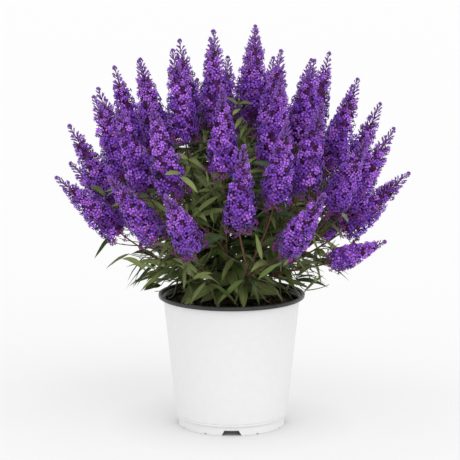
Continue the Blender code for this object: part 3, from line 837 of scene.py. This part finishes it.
class BUSH_StageSettings(bpy.types.PropertyGroup):
    distance: length_setting("Camera distance", "From the pot's axis", 3.15)
    height: length_setting("Camera height", "Above the floor", 0.856)
    pitch: bpy.props.FloatProperty(name="Camera pitch", description="Below level", default=radians(9.7),
                                   subtype="ANGLE")
    floor_color: color_setting("Floor colour", "Pale floor", (0.815, 0.815, 0.816))


# Pieces

class BUSH_OT_pot(bpy.types.Operator):
    """White tapered pot with its foot ring, notches, slits and drain holes"""
    bl_idname = "bush.pot"
    bl_label = "Make the pot"

    def execute(self, context):
        settings = context.scene.bush_pot
        ring = FOOT_RING_DIAMETER / 2
        ring_inside = ring - FOOT_RING_WALL
        pad = PAD_DIAMETER / 2
        top = POT_HEIGHT - RIM_HEIGHT - GAP
        slope = (BODY_TOP_DIAMETER - BODY_FOOT_DIAMETER) / 2 / (top - FOOT_RING_HEIGHT)

        def wall(height, off=0.0):
            return BODY_FOOT_DIAMETER / 2 + slope * (height - FOOT_RING_HEIGHT) + off, height

        floor_top = GUTTER_HEIGHT + FLOOR
        collar = top - 0.0040
        profile = [(pad, 0), (pad + PAD_SLOPE, GUTTER_HEIGHT), (ring_inside, GUTTER_HEIGHT),
                   (ring_inside, 0.0004), (ring_inside + 0.0004, 0), (ring - 0.0006, 0), (ring, 0.0006)]
        profile += [(ring, height) for height in np.linspace(0.004, FOOT_RING_HEIGHT - 0.0006, 4)]
        profile += [(ring + 0.0005, FOOT_RING_HEIGHT - 0.0001), wall(FOOT_RING_HEIGHT, -0.0010),
                    wall(FOOT_RING_HEIGHT + 0.0010, -0.0001)]
        profile += [wall(FOOT_RING_HEIGHT + 0.0040), wall(FOOT_RING_HEIGHT + 0.0046, -0.0009),
                    wall(FOOT_RING_HEIGHT + 0.0050)]
        profile += [wall(height) for height in np.linspace(FOOT_RING_HEIGHT + 0.012, collar - 0.001, 16)]
        profile += [wall(collar), wall(collar + 0.0006, 0.0008), wall(top - 0.0002, 0.0008)]
        profile += [wall(top, 0.0004), wall(top, -WALL), wall(floor_top, -FOOT_RING_WALL - WALL),
                    (pad + PAD_SLOPE - FLOOR / 2, floor_top), (pad - FLOOR / 2, FLOOR)]
        material = mottled("pot_plastic", settings.wall_color, 0.38, 90.0, 0.985, 1.01, 0.03, 0.0003)
        pot = add_piece("pot_wall", turned(profile, 160), material, ("pot_body",))
        cutters = []
        for index in range(NOTCH_COUNT):
            turn = 360 * index / NOTCH_COUNT
            below = NOTCH_WIDTH - NOTCH_TOP_WIDTH / 2
            notch = ((-below, -NOTCH_HEIGHT), (below, -NOTCH_HEIGHT),
                     (NOTCH_TOP_WIDTH / 2, NOTCH_HEIGHT), (-NOTCH_TOP_WIDTH / 2, NOTCH_HEIGHT))
            cutters.append(self.bar(notch[::-1], turn))
            for side in (-1, 1):
                angle = np.linspace(0, pi, 9)
                arch = list(zip(SLIT_WIDTH / 2 * np.cos(angle), SLIT_HEIGHT * np.sin(angle)))
                arch[0] = (SLIT_WIDTH / 2, -SLIT_HEIGHT)
                arch[-1] = (-SLIT_WIDTH / 2, -SLIT_HEIGHT)
                cutters.append(self.bar(arch[::-1], turn + side * SLIT_TURN))
        for index in range(DRAIN_COUNT):
            points, blocks, _, _ = turned(((DRAIN_DIAMETER / 2, 0.5 * GUTTER_HEIGHT),
                                           (DRAIN_DIAMETER / 2, 2 * GUTTER_HEIGHT)), 24)
            middle = DRAIN_CIRCLE / 2 * direction(90, 360 * (index + 0.5) / DRAIN_COUNT)
            cutters.append(self.solid(points + middle, blocks))
        self.cut(pot, cutters)
        return {"FINISHED"}

    @staticmethod
    def solid(points, blocks):
        """Cutting solid from points and polygons."""
        mesh = bpy.data.meshes.new("cutter")
        mesh.from_pydata(points.tolist(), [], [tuple(face) for block in blocks for face in block.tolist()])
        return bpy.data.objects.new("cutter", mesh)

    def bar(self, outline, turn):
        """Bar of an outline, through the foot ring towards a turn."""
        out = direction(90, turn)
        side = np.array((-out[1], out[0], 0))
        flat = np.array([side * x + UP * z for x, z in outline])
        near = FOOT_RING_DIAMETER / 2 - 2 * FOOT_RING_WALL
        far = FOOT_RING_DIAMETER / 2 + 2 * FOOT_RING_WALL
        count = len(flat)
        here = np.arange(count)
        after = (here + 1) % count
        sides = np.stack((here, count + here, count + after, after), axis=-1)
        ends = np.array((here, count + here[::-1]))
        return self.solid(np.concatenate((flat + near * out, flat + far * out)), [sides, ends])

    @staticmethod
    def cut(piece, cutters):
        """Cutters taken away from the piece in one Boolean, applied, with the cutters removed."""
        group = bpy.data.collections.new("cutters")
        for cutter in cutters:
            group.objects.link(cutter)
        modifier = piece.modifiers.new("Cut", "BOOLEAN")
        modifier.operation = "DIFFERENCE"
        modifier.operand_type = "COLLECTION"
        modifier.collection = group
        modifier.solver = "EXACT"
        graph = bpy.context.evaluated_depsgraph_get()
        result = bpy.data.meshes.new_from_object(piece.evaluated_get(graph))
        piece.modifiers.clear()
        piece.data = result
        for cutter in cutters:
            bpy.data.objects.remove(cutter)
        bpy.data.collections.remove(group)
        result.shade_smooth()
        result.set_sharp_from_angle(angle=radians(35))


class BUSH_OT_lip(bpy.types.Operator):
    """Rolled dark lip with fine grooves, and the dark band inside the wall"""
    bl_idname = "bush.lip"
    bl_label = "Make the lip"

    def execute(self, context):
        settings = context.scene.bush_pot
        angle = np.linspace(0, 2 * pi, 48, endpoint=False)
        wide, tall = RIM_WIDTH / 2, RIM_HEIGHT / 2
        groove = 0.00030 * np.cos(9 * angle) * (np.cos(angle) > -0.2)
        across_lip = np.sign(np.cos(angle)) * np.abs(np.cos(angle)) ** 0.75 * (wide + groove)
        up_lip = np.sign(np.sin(angle)) * np.abs(np.sin(angle)) ** 0.75 * (tall + groove)
        profile = np.stack((settings.rim_diameter / 2 - wide + across_lip, POT_HEIGHT - tall + up_lip), axis=-1)
        foot = POT_HEIGHT - LINER_DEPTH
        top = POT_HEIGHT - RIM_HEIGHT / 2
        slope = (BODY_TOP_DIAMETER - BODY_FOOT_DIAMETER) / 2 / (POT_HEIGHT - RIM_HEIGHT - FOOT_RING_HEIGHT)

        def band(height, off):
            return BODY_FOOT_DIAMETER / 2 + slope * (height - FOOT_RING_HEIGHT) - WALL - GAP - off, height

        liner = np.array((band(foot, 0), band(POT_HEIGHT - RIM_HEIGHT, 0), (profile[:, 0].min(), top),
                          (profile[:, 0].min() + 0.0004, top + 0.001),
                          band(POT_HEIGHT - RIM_HEIGHT, LINER_WALL), band(foot, LINER_WALL)))
        material = mottled("lip_plastic", settings.lip_color, 0.26, 160.0, 0.8, 1.3, 0.04, 0.0003)
        bundle = joined((turned(profile, 160, closed=True), turned(liner, 160, closed=True)))
        add_piece("pot_lip", bundle, material, ("pot_rim",))
        return {"FINISHED"}


class BUSH_OT_soil(bpy.types.Operator):
    """Lumpy potting mix with bark flecks"""
    bl_idname = "bush.soil"
    bl_label = "Make the soil"

    def execute(self, context):
        settings = context.scene.bush_pot
        edge = BODY_TOP_DIAMETER / 2 - 0.0045
        low = SOIL_LEVEL - 0.010
        radii = np.linspace(edge, 0.002, 46)
        profile = [(0.01, low), (edge, low)] + [(radius, SOIL_LEVEL) for radius in radii]
        points, blocks, pairs, tones = turned(profile, 150)
        on_top = points[:, 2] > low + 1e-6
        lumps = 0.0016 * waves(points, 0.016, 3) + 0.0008 * waves(points, 0.006, 4)
        near_edge = np.clip((edge - np.linalg.norm(points[:, :2], axis=1)) / 0.006, 0, 1)
        points[:, 2] += on_top * (lumps * near_edge - 0.0012)
        material = mottled("potting_mix_surface", settings.soil_color, 0.92, 260.0, 0.3, 2.4, 0.8, 0.002)
        add_piece("soil", (points, blocks, pairs, tones), material, ("potting_mix",))
        random = np.random.default_rng(8)
        count = 420
        reach = (edge - 0.004) * np.sqrt(random.uniform(0.05, 1, count))
        middle = reach[:, None] * direction(90, random.uniform(0, 360, count))
        middle[:, 2] = SOIL_LEVEL + 0.0016 * waves(middle + SOIL_LEVEL * UP, 0.016, 3)
        block = np.array([(x, y, z) for z in (-0.18, 0.18) for x, y in ((-1, -.5), (1, -.45), (.9, .5), (-.8, .4))])
        faces = [np.array(((3, 2, 1, 0), (4, 5, 6, 7), (0, 1, 5, 4), (1, 2, 6, 5), (2, 3, 7, 6), (3, 0, 4, 7)))]
        facing = unit(UP + 0.5 * random.normal(size=(count, 3)))
        chips = placed(block, faces, np.zeros((8, 2)), middle, facing, random.uniform(0, 6, count),
                       random.uniform(0.0006, 0.0026, count), random.uniform(0, 1, count))
        material = mottled("bark_flecks", settings.fleck_color, 0.85, 500.0, 0.25, 1.7, 0.4)
        add_piece("soil_flecks", chips, material, smooth=False)
        return {"FINISHED"}


class BUSH_OT_wood(bpy.types.Operator):
    """Woody foot and boughs with bark relief"""
    bl_idname = "bush.wood"
    bl_label = "Make the wood"

    def execute(self, context):
        settings = context.scene.bush_stems
        boughs = bough_plan()
        heading = direction([lean for _, lean, _ in boughs], [turn for _, _, turn in boughs])
        share = np.linspace(0, 1, 34)
        reach = CROWN_FOOT_RADIUS * 0.5 + share * (BOUGH_REACH + 0.004 - CROWN_FOOT_RADIUS * 0.5)
        paths = FAN_POINT + reach[:, None] * heading[:, None]
        ways = np.broadcast_to(heading[:, None], paths.shape)
        flare = 0.0022 * np.exp(-share * 7)
        radii = BOUGH_FOOT_RADIUS + share * (BOUGH_TIP_RADIUS - BOUGH_FOOT_RADIUS) + flare
        radii = np.broadcast_to(radii, paths.shape[:2])[..., None] * np.ones(14)
        knots = 1 + 0.10 * waves(paths, 0.012, 5)[..., None]
        angle = 2 * pi * np.arange(14) / 14
        ribs = 1 + 0.07 * np.sin(3 * angle + 5 * share[:, None] * pi) + 0.05 * np.sin(7 * angle - 9 * share[:, None])
        limbs = tubes(paths, ways, radii * knots * ribs, 14, np.zeros(len(boughs)))
        level = np.linspace(0.02, 0.98, 22) * pi / 2
        profile = [(0.004, 0), *zip(CROWN_FOOT_RADIUS * np.cos(level), CROWN_FOOT_RADIUS * np.sin(level))]
        points, blocks, pairs, tones = turned(profile, 60)
        swell = 1 + 0.07 * waves(points, 0.02, 6) + 0.03 * waves(points, 0.006, 7)
        points = points * (swell[:, None] * np.array((1, 1, 0.86))) + FAN_POINT
        points[:, 2] = np.maximum(points[:, 2], FAN_POINT[2] - 0.001)
        material = bark_material("old_bark", settings.wood_color, 90.0)
        add_piece("wood", joined((limbs, (points, blocks, pairs, tones))), material, WOOD_NODES)
        return {"FINISHED"}


class BUSH_OT_foliage(bpy.types.Operator):
    """Shoots, side twigs and pairs of leaves"""
    bl_idname = "bush.foliage"
    bl_label = "Make the shoots and leaves"

    def execute(self, context):
        stems = context.scene.bush_stems
        leaves = context.scene.bush_leaves
        random = np.random.default_rng(21)
        lines = head_lines()
        ends, heads = shoot_plan()
        share = np.linspace(0, 1, 15)
        paths, ways = curves(ends, share)
        taper = SHOOT_FOOT_RADIUS + share * (SHOOT_TIP_RADIUS - SHOOT_FOOT_RADIUS)
        thickness = np.where(heads >= 0, 1.0, 0.5)[:, None]
        radii = (thickness * taper)[..., None] * np.ones(6)
        high = heads >= 0
        shoots = tubes(paths[high], ways[high], radii[high], 6, np.zeros(high.sum()))
        low_shoots = tubes(paths[~high], ways[~high], radii[~high], 6, np.zeros((~high).sum()))

        bare = np.where(heads >= 0, 0.93, 1.0)
        owner, index, place_share, node, way = stations(ends, bare, np.full(len(heads), leaves.pitch))
        chord = unit(ends[2] - ends[0])
        levels = leaf_pairs(owner, index, way, chord, 31)

        pick = random.uniform(size=len(node)) < np.where(place_share < 0.7, 0.55, 0.2)
        twig_ends = self.twigs(node[pick], way[pick], levels[0][pick], random, lines)
        twig_paths, twig_ways = curves(twig_ends, np.linspace(0, 1, 6))
        twig_radii = np.broadcast_to(np.linspace(0.0009, 0.0005, 6), twig_paths.shape[:2])[..., None]
        twigs = tubes(twig_paths, twig_ways, twig_radii * np.ones(4), 4, random.uniform(0, 1, len(twig_paths)))
        t_owner, t_index, t_share, t_node, t_way = stations(
            twig_ends, np.ones(len(twig_paths)), np.full(len(twig_paths), 0.8 * leaves.pitch))
        t_levels = leaf_pairs(t_owner, t_index, t_way, unit(twig_ends[2] - twig_ends[0]), 32)

        low_ends = self.bough_lines()
        b_owner, b_index, b_share, b_node, b_way = stations(
            low_ends, np.ones(len(low_ends[0])), np.full(len(low_ends[0]), 1.2 * leaves.pitch))
        b_levels = leaf_pairs(b_owner, b_index, b_way, unit(low_ends[2] - low_ends[0]), 33)

        nodes = np.concatenate((node, node, t_node, t_node, b_node, b_node))
        headings = np.concatenate((way, way, t_way, t_way, b_way, b_way))
        level = np.concatenate((*levels, *t_levels, *b_levels))
        scale = np.concatenate((np.tile(1.12 - 0.45 * place_share, 2), np.full(2 * len(t_node), 0.62),
                                np.full(2 * len(b_node), 1.05)))
        lengths = leaves.length * scale * random.uniform(0.75, 1.15, len(nodes))
        droops = random.uniform(0.08, 0.42, len(nodes))
        droops[-2 * len(b_node):] += 0.10
        first_twig, first_bough = len(heads), len(heads) + len(twig_paths)
        spray = np.concatenate((owner, owner, t_owner + first_twig, t_owner + first_twig,
                                b_owner + first_bough, b_owner + first_bough))
        away = np.linalg.norm(nodes[:, :2], axis=1)
        thin = np.clip((away - THIN_FROM) / (THIN_TO - THIN_FROM), 0, 1)
        thin = thin * (1 - 0.6 * np.clip((nodes[:, 2] - 0.34) / 0.08, 0, 1))
        lengths = np.minimum(lengths * (1 + 0.72 * thin), LONGEST_LEAF)
        droops = droops + 0.10 * thin
        skirt = np.zeros(len(nodes))
        skirt[:2 * len(node)] = np.tile(heads[owner] < 0, 2)
        kept = random.uniform(size=len(nodes)) < 1 - (1 - THINNEST) * thin * (1 - SKIRT_FULLER * skirt)
        nodes, headings, level, lengths, droops, spray, thin = (
            part[kept] for part in (nodes, headings, level, lengths, droops, spray, thin))
        alongs, sizes = leaf_rule(nodes, headings, level, lengths, droops, lines)
        good = sizes > 0
        spray, thin = spray[good], thin[good]
        nodes, level, droops, alongs, sizes = (part[good] for part in (nodes, level, droops, alongs, sizes))
        widths = leaves.width * (sizes / leaves.length) ** 0.6 * random.uniform(0.75, 1.15, len(nodes))
        widths = widths * (1.15 - 0.25 * thin) * np.where(spray >= first_bough, 1.60, 1.0)
        widths = np.maximum(widths, 0.0060)
        twist = random.uniform(-0.6, 0.6, len(nodes))
        tone = random.uniform(0, 1, len(nodes))
        middle = nodes + 0.5 * sizes[:, None] * alongs
        depth = np.linalg.norm(middle - FAN_POINT, axis=1) / 0.30
        # Painted light and shade: leaves further out from the fan point, flank leaves and the boughs' leaves get a
        # higher light level and so the pale colour, and leaves deep in the bush get the dark shade colour; chance per
        # spray and per leaf adds a random tone
        light = 0.55 * depth + 0.25 * random.uniform(size=spray.max() + 1)[spray]
        light = light + 0.20 * random.uniform(size=len(nodes)) + 0.16 * thin + 0.36 * (spray >= first_bough)
        young = random.uniform(size=spray.max() + 1)[spray] < 0.10
        shades = (
            ("leaves_shade", leaves.shade_color, light < 0.42),
            ("leaves_olive", leaves.olive_color, (light >= 0.42) & (light < 0.66) & ~young),
            ("leaves_pale", leaves.pale_color, (light >= 0.66) & ~young),
            ("leaves_sage", leaves.sage_color, (light >= 0.42) & young),
        )
        for name, color, rows in shades:
            bundle = leaf_blades(nodes[rows], alongs[rows], level[rows], sizes[rows], widths[rows],
                                 droops[rows], twist[rows], tone[rows])
            add_piece(name, bundle, leaf_material(name, color), MASS_NODES)
        add_piece("shoots", shoots, bark_material("young_bark", stems.shoot_color, 60.0), MASS_NODES)
        add_piece("green_twigs", joined((low_shoots, twigs)),
                  bark_material("green_bark", stems.twig_color, 60.0), MASS_NODES)
        return {"FINISHED"}

    @staticmethod
    def bough_lines():
        """Ends and headings of the upper half of every bough."""
        boughs = bough_plan()
        heading = direction([lean for _, lean, _ in boughs], [turn for _, _, turn in boughs])
        return (FAN_POINT + 0.4 * BOUGH_REACH * heading, heading, FAN_POINT + BOUGH_REACH * heading, heading)

    @staticmethod
    def twigs(node, way, level, random, lines):
        """Ends of short side twigs that leave a shoot at a slant and rise, where there is room."""
        lean = radians(TWIG_LEAN)
        heading = unit(cos(lean) * way + sin(lean) * level)
        length = random.uniform(0.028, 0.058, len(node))[:, None]
        arriving = unit(heading + 0.35 * UP)
        end = node + length * unit(heading + 0.12 * UP)
        room = has_room(end[:, None], lines) & (heading[:, 2] > TWIG_DROP)
        return tuple(part[room] for part in (node, heading, end, arriving))


class BUSH_OT_blossom(bpy.types.Operator):
    """Clusters of florets, their eyes, and the loose florets at the foot of each head"""
    bl_idname = "bush.blossom"
    bl_label = "Make the blossom"

    def execute(self, context):
        settings = context.scene.bush_blossom
        random = np.random.default_rng(41)
        shares = spread_shares(0.01, 0.80, settings.cymes)
        middle, way, radial, width, share = cyme_plan(random, shares, spiral(settings.cymes), 0.60, 0.30)
        ball = np.clip(0.34 * width, 0.0030, 0.0085)
        facing = cap_ways(way, settings.florets, 78.0, random)
        centres = middle[..., None, :] + ball[..., None, None] * facing
        centres = centres + 0.0010 * random.normal(size=centres.shape)
        facing = unit(facing + 0.45 * radial[..., None, :] + 0.20 * random.normal(size=facing.shape))
        share_all = np.broadcast_to(share[..., None], facing.shape[:-1])
        small = np.clip((share_all - 0.40) / 0.40, 0, 1)
        size = settings.floret * (1 - 0.36 * small) * random.uniform(0.85, 1.12, share_all.shape)
        open_ones = random.uniform(size=share_all.shape) > 0.25 * small
        # Partly painted light and shade, partly the florets' own tone: florets higher on a head get the paler lavender
        # and lower ones the deep violet, mixed with chance by cluster and by floret
        spray = 0.24 * random.normal(size=share.shape)[..., None]
        pick = share_all + spray + 0.14 * random.normal(size=share_all.shape)
        self.deal("florets_lavender", settings.lavender_color, open_ones & (pick > 0.50),
                  centres, facing, size, random)
        self.deal("florets_violet", settings.violet_color, open_ones & (pick > 0.12) & (pick <= 0.50),
                  centres, facing, size, random)
        self.deal("florets_deep", settings.deep_color, open_ones & (pick <= 0.12), centres, facing, size, random)
        # Painted shade: an inner layer of dark plum florets fills the gaps deep in each head
        inner, inner_way, _, _, _ = cyme_plan(random, spread_shares(0.01, 0.77, 76), spiral(76), 0.50, 0.2)
        inner_way = unit(inner_way + 0.3 * random.normal(size=inner_way.shape))
        self.deal("florets_plum", settings.plum_color, np.ones(inner.shape[:2], bool), inner, inner_way,
                  0.9 * settings.floret * np.ones(inner.shape[:2]), random)
        loose, loose_way, _, _, _ = cyme_plan(random, np.linspace(-0.035, 0.06, 10), spiral(10), 1.0, -0.6)
        loose_facing = cap_ways(loose_way, 3, 70.0, random)
        loose_centres = loose[..., None, :] + 0.0048 * loose_facing
        loose_centres = loose_centres + 0.0022 * random.normal(size=loose_centres.shape)
        self.deal("florets_magenta", settings.magenta_color, np.ones(loose_facing.shape[:-1], bool),
                  loose_centres, loose_facing, np.full(loose_facing.shape[:-1], 0.78 * settings.floret), random)
        outward = dot(facing, radial[..., None, :])[..., 0] > 0.5
        seen = open_ones & outward & (share_all < 0.72) & (random.uniform(size=share_all.shape) < 0.16)
        spin = np.zeros(seen.sum())
        tone = random.uniform(0, 1, seen.sum())
        dark = placed(*eye_shape(), centres[seen], facing[seen], spin, size[seen], tone)
        add_piece("floret_rings", dark, mottled("ring_plum", settings.plum_color, 0.7, 900.0, 0.5, 1.3))
        pupils = placed(*pupil_shape(), centres[seen], facing[seen], spin, size[seen], tone)
        add_piece("floret_eyes", pupils, mottled("eye_orange", settings.eye_color, 0.6, 900.0, 0.7, 1.3))
        return {"FINISHED"}

    @staticmethod
    def deal(name, color, chosen, centres, facing, size, random):
        """One piece of all the florets given one colour, by height in the head for painted light and shade and by a
        spray of chance.
        """
        count = int(chosen.sum())
        bundle = placed(*floret_shape(), centres[chosen], facing[chosen], random.uniform(0, 2 * pi, count),
                        size[chosen], random.uniform(0, 1, count))
        add_piece(name, bundle, petal_material(name, color), MASS_NODES)


class BUSH_OT_buds(bpy.types.Operator):
    """Feathery tips of closed buds, the stalk inside each head, and a dark core of painted shade in each head's middle
    """
    bl_idname = "bush.buds"
    bl_label = "Make the buds"

    def execute(self, context):
        settings = context.scene.bush_blossom
        stems = context.scene.bush_stems
        random = np.random.default_rng(51)
        foot, axis, length, radius = head_plan()
        level = np.arange(WHORLS * WHORL_SPRAYS)
        whorl = level // WHORL_SPRAYS
        turns = 2 * pi * level / WHORL_SPRAYS + whorl * radians(WHORL_TURN)
        shares = 0.635 + 0.335 * whorl / (WHORLS - 1)
        end, way, radial, width, share = cyme_plan(random, shares, turns, 0.98, 1.0)
        rise = (0.62 + 0.75 * np.clip((share - 0.64) / 0.33, 0, 1))[..., None]
        start = end - (0.98 * width)[..., None] * (radial + rise * axis[:, None])
        reach = np.linalg.norm(end - start, axis=-1)
        lift = (end - start) / reach[..., None]
        rows = start.reshape(-1, 3), end.reshape(-1, 3)
        line = rows[0][:, None] + np.array((0, 0.8))[:, None] * (rows[1] - rows[0])[:, None]
        ways = np.broadcast_to(lift.reshape(-1, 1, 3), line.shape)
        radii = np.broadcast_to(np.array((0.0005, 0.0004)), line.shape[:2])[..., None] * np.ones(3)
        stalks = tubes(line, ways, radii, 3, np.zeros(len(line)))
        along = np.linspace(0, 1, 8)
        spine = foot[:, None] + (along * 0.985 * length[:, None])[..., None] * axis[:, None]
        spine_ways = np.broadcast_to(axis[:, None], spine.shape)
        thick = np.broadcast_to(np.linspace(0.0012, 0.0005, 8), spine.shape[:2])[..., None] * np.ones(5)
        spines = tubes(spine, spine_ways, thick, 5, np.zeros(len(spine)))
        add_piece("head_stalks", joined((stalks, spines)), bark_material("stalk_bark", settings.stalk_color, 60.0),
                  MASS_NODES)
        # Painted shade: a dark lumpy core in the middle of each head stands for the shade inside the head
        along = np.linspace(0.02, HEART_TOP, 12)
        heart = foot[:, None] + (along * length[:, None])[..., None] * axis[:, None]
        closing = np.sin(pi * np.linspace(0.12, 0.94, 12)) ** 0.35
        thick = HEART_WIDTH * closing * cone_width(along) * radius[:, None]
        lumps = 1 + 0.16 * waves(heart[:, :, None] + 0.02 * np.arange(8)[:, None], 0.012, 9)
        hearts = tubes(heart, np.broadcast_to(axis[:, None], heart.shape), thick[..., None] * lumps, 8,
                       np.zeros(len(heart)))
        add_piece("head_hearts", hearts, mottled("heart_painted_shade", settings.heart_color, 0.8, 420.0, 0.45, 1.35, 0.5),
                  MASS_NODES)
        club = cap_ways(lift, 5, 11.0, random)
        grown = np.clip(0.55 * reach, 0.0038, 0.0080)[..., None] * random.uniform(0.85, 1.15, club.shape[:-1])
        slide = np.clip(reach[..., None] - grown, 0, None) * np.linspace(0.40, 1.0, 5)
        club_foot = start[..., None, :] + slide[..., None] * lift[..., None, :]
        tip = foot + (0.978 * length)[:, None] * axis
        knob = cap_ways(axis, 18, 120.0, random)
        knob_foot = np.broadcast_to(tip[:, None], knob.shape)
        strokes = placed(*bud_shape(0.14), club_foot.reshape(-1, 3), club.reshape(-1, 3),
                         random.uniform(0, 6, grown.size), grown.ravel(), random.uniform(0, 1, grown.size))
        count = knob[..., 0].size
        knobs = placed(*bud_shape(0.30), knob_foot.reshape(-1, 3), knob.reshape(-1, 3),
                       random.uniform(0, 6, count), random.uniform(0.0034, 0.0044, count),
                       random.uniform(0, 1, count))
        add_piece("buds", joined((strokes, knobs)), petal_material("bud_violet", settings.bud_color),
                  MASS_NODES)
        return {"FINISHED"}


class BUSH_OT_stage(bpy.types.Operator):
    """Pale floor that glows with painted light and a painted contact shadow round the pot, soft light and camera"""
    bl_idname = "bush.stage"
    bl_label = "Make the stage"

    def execute(self, context):
        settings = context.scene.bush_stage
        scene = context.scene
        scene.view_settings.view_transform = "Standard"
        reach = 40.0
        mesh = bpy.data.meshes.new("floor")
        mesh.from_pydata([(-reach, -reach, 0), (reach, -reach, 0), (reach, reach, 0), (-reach, reach, 0)], [],
                         [(0, 1, 2, 3)])
        material, tree, shader = new_material("floor_painted_glow_and_shadow", scaled(settings.floor_color, 0.49), 0.9)
        # Painted light and shade: the floor emits light, and the emission is lowered near and under the pot as a
        # painted contact shadow
        shader.inputs["Emission Color"].default_value = (*settings.floor_color, 1.0)
        place = tree.nodes.new("ShaderNodeTexCoord")
        away = tree.nodes.new("ShaderNodeVectorMath")
        away.operation = "LENGTH"
        tree.links.new(place.outputs["Object"], away.inputs[0])
        far = FLOOR_GLOW_AND_CONTACT_SHADOW[-1][0]
        share = add_math(tree, "DIVIDE", away.outputs["Value"], far)
        floor_light_and_shade = add_ramp(tree, share, [(radius / far, (level, level, level)) for radius, level in FLOOR_GLOW_AND_CONTACT_SHADOW])
        tree.links.new(floor_light_and_shade, shader.inputs["Emission Strength"])
        mesh.materials.append(material)
        floor = bpy.data.objects.new("floor", mesh)
        scene.collection.objects.link(floor)
        world = bpy.data.worlds.new("soft_light")
        world.use_nodes = True
        world.node_tree.nodes["Background"].inputs["Color"].default_value = (1.0, 1.0, 1.0, 1.0)
        world.node_tree.nodes["Background"].inputs["Strength"].default_value = 0.84
        scene.world = world
        self.lamp("key_light", (0.55, -0.75, 1.0), 60.0, 1.05)
        self.lamp("side_light", (-0.8, -0.55, 0.9), 60.0, 0.50)
        camera = bpy.data.cameras.new("camera")
        camera.lens = 1990 / 460 * camera.sensor_width
        camera.shift_x = -1.6 / 460
        camera.clip_end = 200.0
        holder = bpy.data.objects.new("camera", camera)
        holder.location = (0.0, -settings.distance, settings.height)
        holder.rotation_euler = (pi / 2 - settings.pitch, 0.0, 0.0)
        scene.collection.objects.link(holder)
        scene.camera = holder
        return {"FINISHED"}

    @staticmethod
    def lamp(name, place, angle, strength):
        """Wide soft light from far away in the direction of a place."""
        light = bpy.data.lights.new(name, "SUN")
        light.angle = radians(angle)
        light.energy = strength
        holder = bpy.data.objects.new(name, light)
        back = unit(np.array(place))
        holder.rotation_euler = (float(np.arccos(back[2])), 0.0, float(np.arctan2(back[0], -back[1])))
        bpy.context.scene.collection.objects.link(holder)


class BUSH_PT_panel(bpy.types.Panel):
    """Buttons for the pieces of the bush"""
    bl_idname = "BUSH_PT_panel"
    bl_label = "Butterfly bush"
    bl_space_type = "VIEW_3D"
    bl_region_type = "UI"
    bl_category = "Bush"

    def draw(self, context):
        for operator in OPERATORS:
            self.layout.operator(operator.bl_idname)


SETTINGS = (
    ("bush_pot", BUSH_PotSettings),
    ("bush_stems", BUSH_StemSettings),
    ("bush_leaves", BUSH_LeafSettings),
    ("bush_blossom", BUSH_BlossomSettings),
    ("bush_stage", BUSH_StageSettings),
)
OPERATORS = (BUSH_OT_stage, BUSH_OT_pot, BUSH_OT_lip, BUSH_OT_soil, BUSH_OT_wood, BUSH_OT_foliage,
             BUSH_OT_blossom, BUSH_OT_buds)


def register():
    for name, group in SETTINGS:
        bpy.utils.register_class(group)
        setattr(bpy.types.Scene, name, bpy.props.PointerProperty(type=group))
    for operator in OPERATORS:
        bpy.utils.register_class(operator)
    bpy.utils.register_class(BUSH_PT_panel)


def unregister():
    bpy.utils.unregister_class(BUSH_PT_panel)
    for operator in reversed(OPERATORS):
        bpy.utils.unregister_class(operator)
    for name, group in reversed(SETTINGS):
        delattr(bpy.types.Scene, name)
        bpy.utils.unregister_class(group)


def main():
    register()
    bpy.ops.bush.stage()
    bpy.ops.bush.pot()
    bpy.ops.bush.lip()
    bpy.ops.bush.soil()
    bpy.ops.bush.wood()
    bpy.ops.bush.foliage()
    bpy.ops.bush.blossom()
    bpy.ops.bush.buds()


if __name__ == "__main__":
    main()
